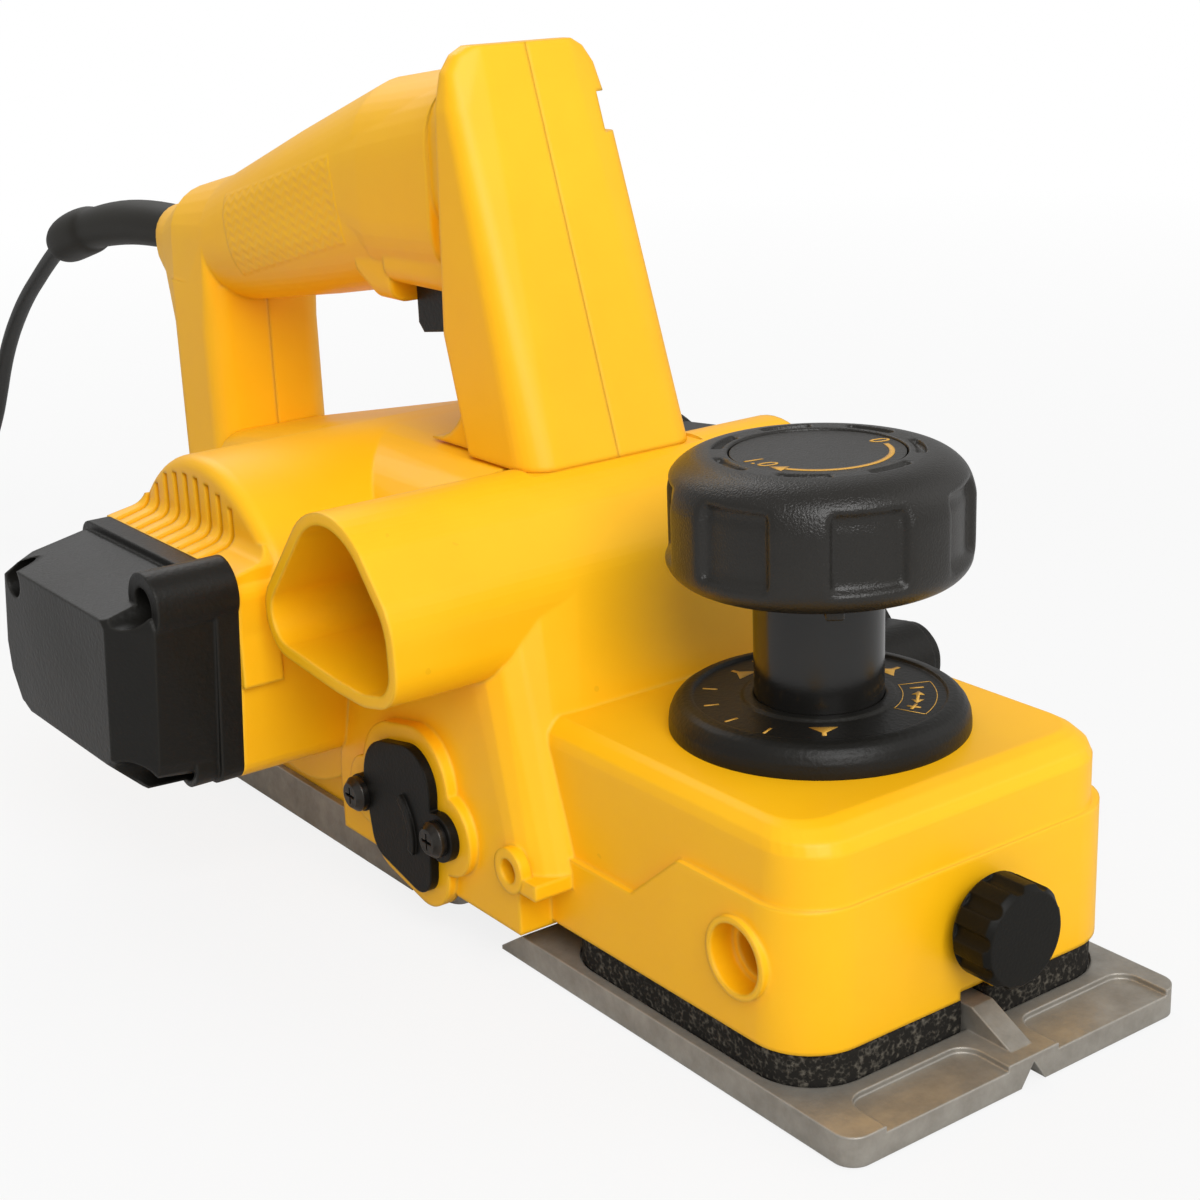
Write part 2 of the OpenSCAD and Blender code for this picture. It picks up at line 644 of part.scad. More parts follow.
// ---------- motor ----------
core_x = [-30, 14];
comm_x = [-47, -34];
module motor_shaft() {
    color("silver") {
        rod_x(-cap_face_x + 7, belt_x + 10.8, motor_c, small_bearing[1] - run);
    }
}
module sleeve(x0, x1, r_out) {
    ring_x(x0, x1, motor_c, r_out, small_bearing[1]);
}
module armature_core() {
    color("slategray") difference() {
        sleeve(core_x[0] + 3, core_x[1] - 3, 18.5);
        for (i = [0:11]) translate([0, motor_y, motor_z]) rotate([i * 30, 0, 0])
            block([core_x[0], core_x[1]], [-1.8, 1.8], [11, 17]);
    }
}
module armature_windings() {
    color("chocolate") {
        for (i = [0:11]) translate([0, motor_y, motor_z]) rotate([i * 30, 0, 0])
            block([core_x[0] + 1, core_x[1] - 1], [-1.7, 1.7], [11.1, 16.9]);
        for (x = [core_x[0] - 2, core_x[1] - 2.9]) turn_x(x, motor_c)
            polygon([[5.5, 0], [14, 0], [17, 1.5], [17, 4.4], [15, 4.8], [5.5, 4.8]]);
    }
}
module commutator() {
    color("peru") difference() {
        sleeve(comm_x[0], comm_x[1], 11);
        for (i = [0:23]) translate([0, motor_y, motor_z]) rotate([i * 15, 0, 0])
            block([comm_x[0] - 1, comm_x[1] - 2], [-0.25, 0.25], [10.2, 12]);
    }
}
module cooling_fan() {
    color("black") {
        turn_x(22, motor_c) polygon([[4, 0], [9, 0], [9, 8], [fan_r, 10.5], [fan_r, 12], [4, 12]]);
        for (i = [0:10]) translate([0, motor_y, motor_z]) rotate([i * 360 / 11, 0, 0])
            translate([22, 0, 0]) rotate([0, 0, 4]) block([0.5, 11], [-0.7, 0.7], [10, fan_r - 0.5]);
    }
}
module motor_bearings() {
    color("silver") {
        bearing(-cap_face_x + 6, motor_c, small_bearing);
        bearing(case_left + bracket_t - small_bearing[2] - 0.1, motor_c, small_bearing);
    }
}
module stator_core() {
    color("slategray") difference() {
        intersection() {
            rod_x(core_x[0], core_x[1], motor_c, bore_r - run);
            translate([0, motor_y, motor_z]) cube([200, 70, 57], center = true);
        }
        rod_x(core_x[0] - 1, core_x[1] + 1, motor_c, 19.2);
        for (s = [-1, 1]) translate([0, motor_y, motor_z])
            block([core_x[0] - 1, core_x[1] + 1], [min(s * 12, s * 25), max(s * 12, s * 25)], [-12, 12]);
    }
}
module field_coils() {
    color("chocolate") for (s = [-1, 1]) translate([0, motor_y, motor_z]) difference() {
        block([core_x[0] - 4, core_x[1] + 4], [min(s * 19.4, s * 24.8), max(s * 19.4, s * 24.8)],
            [-11.8, 11.8]);
    }
}
module at_brush(s) {
    translate([(comm_x[0] + comm_x[1]) / 2 - 1, motor_y, motor_z]) rotate([s > 0 ? 0 : 180, 0, 0])
        rotate([-90, 0, 0]) children();
}
module brush_holders() {
    color("goldenrod") for (s = [-1, 1]) at_brush(s) difference() {
        translate([-5, -4.4, 14]) cube([10, 8.8, 12.8]);
        translate([-3.6, -2.9, 13]) cube([7.2, 5.8, 12.6]);
    }
}
module carbon_brushes() {
    color("black") for (s = [-1, 1]) at_brush(s) difference() {
        translate([-3.5, -2.8, 10.4]) cube([7, 5.6, 9.4]);
        rotate([0, 90, 0]) cylinder(r = 11 + run, h = 30, center = true);
    }
}
module brush_springs() {
    color("silver") for (s = [-1, 1]) at_brush(s) translate([0, 0, 19.9])
        coil_spring(2, 0.35, 5, 5.6);
}
// The end cap's body, sloping in towards its face
module cap_outer(inset) {
    hull() {
        along_x(-bay_x - 6, -bay_x) bay_shape(bay_top - 1, inset + 0.8, 9);
        along_x(-cap_face_x + 7 + inset / 2, -cap_face_x + 8 + inset) bay_shape(bay_top - 3.4, inset + 0.8, 11);
        along_x(-cap_face_x + inset, -cap_face_x + 1 + inset) polygon([
            [bay_front + 10.5 + inset, bay_top - 5.8 - inset], [bay_front + 8.8 + inset, bay_top - 7.2 - inset],
            [bay_front + 13.2 + inset, bay_bottom + 9.2 + inset], [bay_front + 15.4 + inset, bay_bottom + 7.5 + inset],
            [bay_back - 9.5, bay_bottom + 7.4 + inset], [bay_back - 5 - inset, bay_bottom + 9 + inset],
            [bay_back - 1.2 - inset, bay_bottom + 15], [bay_back - 0.6 - inset, bay_bottom + 21.5],
            [bay_back - 4 - inset, bay_top - 8], [bay_back - 8, bay_top - 5.7 - inset]]);
    }
}
module motor_end_cap() {
    color("#2b2a27") difference() {
        union() {
            cap_outer(0);
            along_x(-bay_x - 5, -bay_x) bay_shape(bay_top);
            rod_x(-cap_face_x + 7.5, -bay_x, cap_screws[0], 6.8);
            for (p = [cap_screws[2], cap_screws[3]]) rod_x(-bay_x - 10, -bay_x, p, 5.2);
        }
        difference() {
            union() {
                cap_outer(2.6);
                along_x(-bay_x - 3, -bay_x + 1) bay_shape(bay_top, 3);
            }
            for (p = cap_screws) rod_x(-cap_face_x, -bay_x, p, 5.4);
            ring_x(-cap_face_x, -cap_face_x + 6 + small_bearing[2], motor_c, 13.5, small_bearing[0] + run);
        }
        for (p = cap_screws) {
            rod_x(-cap_face_x, -bay_x + 1, p, 1.8);
            rod_x(-cap_face_x - 1, -bay_x - 6, p, 3.8);
        }
    }
}
module end_cap_screws() {
    color("black") for (p = cap_screws) translate([-bay_x - 6, p[0], p[1]])
        rotate([0, -90, 0]) pan_screw(3.6, 2.4, 1.7, 15);
}

// ---------- shoes ----------
module shoe_plan(y0, y1, r0, r1) {
    w = shoe_w / 2;
    translate([-w, y0 + r0]) square([shoe_w, y1 - y0 - r0 - r1]);
    if (r0 > 0) {
        translate([-w + r0, y0]) square([shoe_w - 2 * r0, r0 + 1]);
        for (s = [-1, 1]) translate([s * (w - r0), y0 + r0]) circle(r0);
    }
    if (r1 > 0) {
        translate([-w + r1, y1 - r1 - 1]) square([shoe_w - 2 * r1, r1 + 1]);
        for (s = [-1, 1]) translate([s * (w - r1), y1 - r1]) circle(r1);
    }
}
module foam_plan(grow) {
    soft_rect([-nose_w / 2 + 0.6 - grow, nose_front + 1 - grow],
        [nose_w / 2 - 0.6 + nose_side * 0.6 + grow, throat_y - 16 + grow], 12 + grow);
}
module front_shoe() {
    color("darkgray") difference() {
        union() {
            along_z(0, foam_bottom) shoe_plan(front_y, throat_y, 4, 0);
            difference() {
                along_z(foam_bottom - 0.1, shoe_lip) shoe_plan(front_y, throat_y, 4, 0);
                along_z(foam_bottom, shoe_lip + 1) foam_plan(0.4);
            }
            // rib over the groove, sloping down to the lip
            along_x(groove_x - 2.6, groove_x + 2.6) polygon([[front_y + 3, foam_bottom - 0.1],
                [front_y + 3, shoe_lip], [nose_front - 0.5, foam_top - 1.3],
                [throat_y - 16, foam_top - 1.3], [throat_y - 16, foam_bottom - 0.1]]);
            block([-block_w / 2, block_w / 2], [block_front, block_back],
                [foam_bottom - 0.1, block_top]);
        }
        // groove for chamfering
        along_y(front_y - 1, throat_y + 1) polygon([[groove_x - groove_w / 2, -0.01],
            [groove_x, groove_w * 0.72], [groove_x + groove_w / 2, -0.01]]);
        // slanted rear end
        along_x(-shoe_w, shoe_w) polygon([[throat_y + 1, 0.8], [throat_y, 0.8],
            [throat_y - 7.5, shoe_lip + 0.1], [throat_y + 1, shoe_lip + 0.1]]);
        // shelves behind the lip
        for (s = [-1, 1]) along_z(shoe_lip - 1.1, shoe_lip + 1)
            soft_rect([groove_x + s * 20.6 - 14.4, front_y - 6], [groove_x + s * 20.6 + 14.4, nose_front - 2.4], 4);
        // bore of the depth spindle and seats of the springs
        rod_z(7.5, block_top + 1, 0, knob_y, spindle_r + run);
        for (s = [-1, 1]) rod_z(block_top - spring_seat, block_top + 1, s * spring_x, knob_y, spring_r + 0.8);
    }
}
module foam_gasket() {
    color("#3a3a38") difference() {
        along_z(foam_bottom, foam_top) foam_plan(0);
        along_z(foam_bottom - 1, foam_top + 1) foam_plan(-5);
        block([groove_x - 3, groove_x + 3], [front_y, knob_y], [0, foam_top + 1]);
        block([groove_x - 3, groove_x + 3], [knob_y, throat_y], [0, foam_top + 1]);
    }
}
module shoe_springs() {
    color("silver") for (s = [-1, 1])
        translate([s * spring_x, knob_y, block_top - spring_seat])
            coil_spring(spring_r - 0.6, 0.55, 6, spring_top - block_top + spring_seat);
}
module rear_shoe() {
    wall = 5;
    color("dimgray") difference() {
        along_z(0, rear_shoe_h) shoe_plan(rear_lip_y, rear_y, 0, 9);
        // hollows between the ribs
        for (i = [0:3]) along_z(5, rear_shoe_h + 1) soft_rect(
            [-shoe_w / 2 + wall + 14, rear_lip_y + 30 + i * 29.5],
            [shoe_w / 2 - wall - 14, rear_lip_y + 54 + i * 29.5], 3);
        // clearance of the drum
        rod_x(-shoe_w, shoe_w, drum_c, cut_r + 1);
        // countersunk screws
        for (p = shoe_screws) {
            rod_z(-1, rear_shoe_h + 1, p[0], p[1], 2.1);
            translate([p[0], p[1], -0.01]) cylinder(r1 = 4.4, r2 = 2.1, h = 2.6);
        }
    }
}
module rear_shoe_screws() {
    color("silver") for (p = shoe_screws) translate([p[0], p[1], 0]) difference() {
        rotate_extrude() polygon([[0, 0.3], [3.9, 0.3], [2, 2.5], [2, 20], [0, 20]]);
        for (a = [0, 90]) rotate([0, 0, a]) translate([-2.2, -0.4, 0]) cube([4.4, 0.8, 1.6]);
    }
}

// ---------- depth knob ----------
module on_knob(z) {
    translate([0, knob_y, z]) children();
}
module wedge(a, half, r, h) {
    rotate([0, 0, a]) linear_extrude(h)
        polygon([[0, 0], [r * cos(half), -r * sin(half)], [r * cos(half) * 1.05, 0], [r * cos(half), r * sin(half)]]);
}
pocket_step = 360 / knob_pockets;
pocket_phase = 246.9;
module knob_cap() {
    h = knob_top - cap_bottom;
    color("#2b2a27") on_knob(cap_bottom) difference() {
        rotate_extrude() polygon(concat([[0, 0], [knob_r - 4.6, 0]],
            [for (a = [-90:18:0]) [knob_r - 4.6 + 4.6 * cos(a), 5 + 5 * sin(a)]],
            [for (a = [0:15:90]) [knob_r - 8.6 + 8 * cos(a), h - 7.6 + 7.6 * sin(a)]],
            [[0, h]]));
        // recess for the dial, bore for the spindle
        translate([0, 0, h - 1.5]) cylinder(r = 15.9, h = 2);
        translate([0, 0, -1]) cylinder(r = spindle_r + 0.02, h = 15);
        for (i = [0:knob_pockets - 1]) {
            translate([0, 0, 4]) intersection() {
                ring(knob_r + 3, knob_r - 1.3, 14.5);
                wedge(pocket_phase + i * pocket_step, 15.5, 40, 14.5);
            }
            translate([0, 0, h - 1]) intersection() {
                ring(20.4, 18.4, 2);
                wedge(pocket_phase + (i + 0.5) * pocket_step, 17, 40, 2);
            }
        }
    }
    color("#2b2a27") on_knob(cap_bottom - 1.6) rotate([0, 0, 235])
        translate([post_r + 8, -1.6, 0]) cube([3.4, 3.2, 1.7]);
}
module knob_dial() {
    color("#1f1e1c") on_knob(knob_top - 1.48) cylinder(r = 15.7, h = 1.1);
}
module knob_post() {
    color("#1f1e1c") on_knob(0) rotate_extrude() polygon([[spindle_r + 0.02, clip_z - 2],
        [spigot_r, clip_z - 2], [spigot_r, clip_z + 0.3], [spigot_r - 1, clip_z + 0.3],
        [spigot_r - 1, clip_z + 1.9], [spigot_r, clip_z + 1.9], [spigot_r, nose_top + 0.2],
        [post_r, nose_top + 0.2], [post_r, cap_bottom - 0.02], [spindle_r + 0.02, cap_bottom - 0.02]]);
}
module depth_spindle() {
    color("silver") on_knob(8.8) cylinder(r = spindle_r, h = cap_bottom + 13.8 - 8.8);
}
module spindle_clip() {
    color("silver") on_knob(clip_z + 0.35) difference() {
        ring(11.6, spigot_r - 0.97, 1.5);
        translate([-3, 0, -1]) cube([6, 20, 4]);
    }
}
module scale_ring() {
    color("#2b2a27") on_knob(nose_top + 0.02) rotate_extrude() polygon(concat(
        [[post_r + 0.15, 0], [ring_r, 0], [ring_r, 1.2]],
        [for (a = [0:18:90]) [ring_r - 3.8 + 3.8 * cos(a), 1.2 + (ring_h - 1.2) * sin(a)]],
        [[ring_r - 4.5, ring_h], [ring_r - 4.5, ring_h - 0.6], [14.4, ring_h - 0.6],
            [14, ring_h - 0.1], [post_r + 0.15, ring_h - 0.1]]));
}

// ---------- fence clamp ----------
module clamp_knob() {
    color("black") difference() {
        translate([clamp_x, clamp_y, boss_z]) rotate([90, 0, 0]) rotate_extrude()
            polygon([[3.02, 0.7], [clamp_r - 0.8, 0.7], [clamp_r, 1.6], [clamp_r, clamp_len - 1],
                [clamp_r - 1, clamp_len], [0, clamp_len], [0, clamp_len - 2.5], [3.02, clamp_len - 2.5]]);
        for (i = [0:9]) translate([clamp_x, 0, boss_z]) rotate([0, i * 36 + 10, 0])
            rod_y(clamp_y - clamp_len - 1, clamp_y - 1.5, clamp_r + 1.1, 0, 2);
    }
}
module clamp_screw() {
    color("silver") rod_y(clamp_y - clamp_len + 2.6, boss_y - rod_r - 0.2, clamp_x, boss_z, 3);
}

// ---------- handle ----------
function col_front(z) = column_front_foot + (z - column_foot) * column_lean;
function col_back(z) = column_back - max(0, column_knee - z) * column_back_lean;
function col_half(z) = column_w / 2 - (z - column_foot) * 0.025;
module column_slab(z, inset) {
    w = col_half(z) - inset;
    y0 = col_front(z) + inset * 0.35;
    y1 = col_back(z) - inset * 0.2;
    r = min(column_round, (y1 - y0) / 2 - 0.2);
    for (s = [-1, 1]) {
        rod_z(z - 0.2, z, s * (w - r), y0 + r, r);
        rod_z(z - 0.2, z, s * (w - 2.5), y1 - 2.5, 2.5);
    }
}
module grip_slab(y, z, w, r) {
    along_y(y - 0.1, y + 0.1) soft_rect([-w / 2, z[0]], [w / 2, z[1]], r);
}
module grip_at_station(i, w, r) {
    g = grip_at[i];
    grip_slab(g[0], [g[1], g[2]], w, r);
}
module handle_solid() {
    foot = column_foot + 0.1;
    hull($fn = 28) {
        column_slab(foot + 0.2, 0);
        column_slab(column_knee, 0);
        column_slab(column_top - 12, 0);
        column_slab(column_top - 5, 1.2);
        column_slab(column_top - 1.6, 3.4);
        column_slab(column_top, 6.5);
    }
    for (i = [0:2]) hull($fn = 44) {
        grip_at_station(i, grip_w, 15.5);
        grip_at_station(i + 1, grip_w, 15.5);
    }
    // heel behind the column
    along_x(-spine_w / 2 - 2, spine_w / 2 + 2) polygon(concat([[column_front_foot + 8, foot], [column_back + 9, foot]],
        [for (a = [-90:-15:-165]) [column_back + 9 + 14 * cos(a), foot + 14.4 + 14 * sin(a)]],
        [[column_front_foot + 8, foot + 10]]));
    // guard over the trigger
    hull($fn = 28) {
        grip_slab(col_back(120) - 3, [121.8, 140], 29, 4);
        grip_slab(motor_y - 2, [121.8, 140], 29, 4);
    }
    hull($fn = 28) {
        grip_slab(motor_y - 2.6, [117.4, 138], 27, 4);
        grip_slab(motor_y + 5, [117.4, 138], 27, 4);
        grip_slab(motor_y + 11, [120.4, 140], 28, 5);
    }
    // swelling round the switch
    hull($fn = 32) {
        grip_slab(column_back + 7, [122, 167.1], 33.6, 14);
        grip_slab(motor_y + 3, [120.5, 162.3], 33.2, 14.6);
        grip_slab(motor_y + 28, [128, 155.1], 31.3, 12);
    }
    // rear post
    hull($fn = 28) {
        along_z(post_foot + 0.1, post_foot + 0.3)
            soft_rect([-post_w / 2, post_front], [post_w / 2, post_back], 6);
        along_z(111, 111.2)
            soft_rect([-post_w / 2, post_front], [post_w / 2, post_back], 6);
    }
    hull($fn = 28) {
        along_z(100, 100.2)
            soft_rect([-post_w / 2, post_front], [post_w / 2, post_back], 6);
        grip_at_station(3, grip_w, 15.5);
        grip_slab(post_back - 5, [105.5, 134.2], 30, 12);
        grip_slab(post_back + 8.5, [104.4, 128], 23, 9);
    }
    // gland
    hull($fn = 28) {
        grip_slab(post_back + 8.5, [104.4, 128], 23, 9);
        grip_slab(gland_y - 3.6, [107.3, 127.4], 19.6, 9);
        grip_slab(gland_y - 0.1, [109.4, 126.9], 16.6, 8.2);
    }
    // fillet between the column's top and the grip
    hull($fn = 28) {
        grip_slab(col_back(150) - 4, [132, 169.5], 35, 13);
        grip_slab(col_back(150) + 10, [130, 167.2], 31, 14);
    }
}
handle_screw_at = [[column_front_foot + 14, 104], [column_back + 64, 140],
    [post_front + 9, 125], [post_front + 14, 84]];
lock_c = [drum_y + 14.5, 157.7];
trigger_y = [motor_y - 29, motor_y - 3];
trigger_z = 110.5;
switch_y = [motor_y - 28, motor_y + 22];
switch_z = [136, 150];
module handle_room() {
    // room for the switch, the trigger and its flange
    block([-9, 9], [switch_y[0] - play, switch_y[1] + play], [switch_z[0] - 4, switch_z[1] + play]);
    block([-7.3, 7.3], [trigger_y[0] - play, trigger_y[1] + play], [100, switch_z[0]]);
    block([-9, 9], [trigger_y[0] - 1.4, trigger_y[1] + 1.4], [126.2, switch_z[0]]);
    // wire way to the cord clamp
    hull() {
        block([-4, 4], [switch_y[1], switch_y[1] + 1], [138, 146]);
        block([-4, 4], [post_back - 9, post_back - 8], [boot_z - 5, boot_z + 3]);
    }
    block([-10, 10], [post_back - 10, post_back + 4], [boot_z - 6.5, boot_z + 7]);
    // boot
    rod_y(post_back - 4, gland_y + 1, 0, boot_z, boot_r + 0.1);
    rod_y(gland_y - 14, gland_y - 10.9, 0, boot_z, boot_r + 1.3);
}
boot_r = 6;
boot_z = 119.8;
module half(side) {
    block(side < 0 ? [-60, -0.05] : [0.05, 60], [-100, 250], [60, 200]);
}
module handle_right() {
    color("gold") difference() {
        intersection() {
            handle_solid();
            half(-1);
        }
        handle_room();
        for (p = handle_screw_at) rod_x(-11, 1, p, 1.75);
        rod_x(-6, 0, lock_c, 3.7);
    }
}
module handle_left() {
    color("gold") difference() {
        intersection() {
            handle_solid();
            half(1);
        }
        handle_room();
        for (p = handle_screw_at) {
            rod_x(0, 30, p, 1.8);
            rod_x(10, 30, p, 3.7);
        }
        rod_x(0, 30, lock_c, 3.7);
        block([15.3, 30], [lock_c[0] - 12, lock_c[0] + 5.2], [lock_c[1] - 4, lock_c[1] + 4]);
    }
}
module handle_screws() {
    color("black") for (p = handle_screw_at) translate([10.02, p[0], p[1]])
        rotate([0, 90, 0]) pan_screw(3.5, 2.4, 1.7, 20.5);
}
module trigger() {
    color("black") difference() {
        union() {
            along_x(-7, 7) polygon([[trigger_y[0], trigger_z + 3], [trigger_y[0] + 5, trigger_z + 0.6],
                [trigger_y[0] + 14, trigger_z + 1.4], [trigger_y[1] - 2, trigger_z],
                [trigger_y[1], trigger_z + 2], [trigger_y[1], 126.5], [trigger_y[0], 126.5]]);
            block([-8.6, 8.6], [trigger_y[0] - 1, trigger_y[1] + 1], [126.4, 129.4]);
        }
        rod_z(118, 131, 0, (trigger_y[0] + trigger_y[1]) / 2, 3.4);
    }
}
module trigger_spring() {
    color("silver") translate([0, (trigger_y[0] + trigger_y[1]) / 2, 118.05])
        coil_spring(2.4, 0.4, 6, switch_z[0] - 118.1);
}
module switch_body() {
    color("dimgray") difference() {
        block([-8.7, 8.7], switch_y, switch_z);
        block([-9, 9], [switch_y[1] - 8, switch_y[1] + 1], [switch_z[0] - 1, switch_z[0] + 4]);
    }
    color("orange") for (s = [-1, 1]) block([s * 4 - 1, s * 4 + 1],
        [switch_y[1] - 7, switch_y[1] - 2], [switch_z[0] + 1.5, switch_z[0] + 4.1]);
}
module lock_button() {
    color("black") difference() {
        rod_x(1.2, 16, lock_c, 3.6);
        rod_x(1, 5.4, lock_c, 2.9);
    }
}
module lock_spring() {
    color("silver") translate([-5.95, lock_c[0], lock_c[1]]) rotate([0, 90, 0])
        coil_spring(2.4, 0.35, 4, 8);
}

// ---------- cord ----------
// Places along the boot and its radius there
boot_path = [[0, post_back - 4, boot_z], [0, gland_y - 14, boot_z], [0, gland_y - 13.98, boot_z],
    [0, gland_y - 11, boot_z], [0, gland_y - 10.98, boot_z], [0, gland_y + 2, boot_z], [0, 175, 120],
    [0, 188, 119.4], [0, 200, 118.2], [0, 211, 116.6], [0, 221, 114.7], [0, 221.4, 114.62], [0, 229, 112.9],
    [0, 237, 110.8], [0, 244, 108.6], [0, 248.2, 107.1], [0, 249, 106.8]];
boot_radii = [4.2, 4.2, boot_r + 1.2, boot_r + 1.2, boot_r, boot_r, boot_r, boot_r, boot_r, boot_r, boot_r,
    boot_r + 1, boot_r + 1, boot_r + 1, boot_r + 1, boot_r + 1, boot_r + 0.2];
module cord_boot() {
    color("#24231f") tube_of(boot_path, boot_radii, 20);
}
module cord_clamp() {
    color("dimgray") {
        block([-9.5, 9.5], [post_back - 3, post_back + 3], [boot_z + 4.22, boot_z + 6.8]);
        for (s = [-1, 1]) rod_z(boot_z - 6.4, boot_z + 4.3, s * 7.4, post_back, 1.4);
    }
}
module cord_tube() {
    color("#1c1b19") tube_along(cord_route, cord_d / 2, 8);
}
module cord_coil() {
    h = 15;
    color("#1c1b19") translate([coil_c[0], coil_c[1], 1.2]) rotate_extrude()
        translate([coil_r - 20, 0]) soft_rect([0, 0], [20, h], 3);
}
module cord_tie() {
    color("gray") translate([coil_c[0], coil_c[1], 0]) rotate([0, 0, 60]) difference() {
        block([coil_r - 21.2, coil_r + 1.2], [-4, 4], [0, 17.4]);
        block([coil_r - 20.1, coil_r + 0.1], [-5, 5], [1.1, 16.3]);
        translate([0, 0, 1.1]) ring(coil_r + 0.05, coil_r - 20.05, 15.2);
    }
}
plug_at = [coil_c[0] - 26, coil_c[1] - 22, 13];
module plug_body() {
    color("#1c1b19") translate(plug_at) {
        hull($fn = 28) {
            along_y(-44, -34) soft_rect([-17, -11], [17, 11], 9);
            along_y(-26, -25) circle(9);
        }
        translate([0, 1, 0]) rotate([90, 0, 0]) cylinder(r1 = 4, r2 = 7, h = 27);
    }
}
module plug_pins() {
    color("silver") translate(plug_at) for (s = [-1, 1])
        rod_y(-63, -44, s * 9.5, 0, 2.4);
}

main_housing();
bearing_bracket();
belt_cover();
belt_cover_screws();
motor_end_cap();
end_cap_screws();
bearing_plate();
bearing_plate_screws();
handle_right();
handle_left();
handle_screws();
rear_shoe();
rear_shoe_screws();
front_shoe();
foam_gasket();
shoe_springs();
scale_ring();
knob_cap();
knob_dial();
knob_post();
depth_spindle();
spindle_clip();
clamp_knob();
clamp_screw();
cutter_drum();
planer_blades();
blade_clamps();
blade_screws();
drum_bearing_right();
drum_bearing_left();
drum_pulley();
drum_pulley_nut();
drive_belt();
motor_pulley();
motor_shaft();
armature_core();
armature_windings();
commutator();
cooling_fan();
motor_bearings();
stator_core();
field_coils();
brush_holders();
carbon_brushes();
brush_springs();
trigger();
trigger_spring();
lock_button();
lock_spring();
switch_body();
cord_boot();
cord_clamp();
cord_tube();
cord_coil();
cord_tie();
plug_body();
plug_pins();
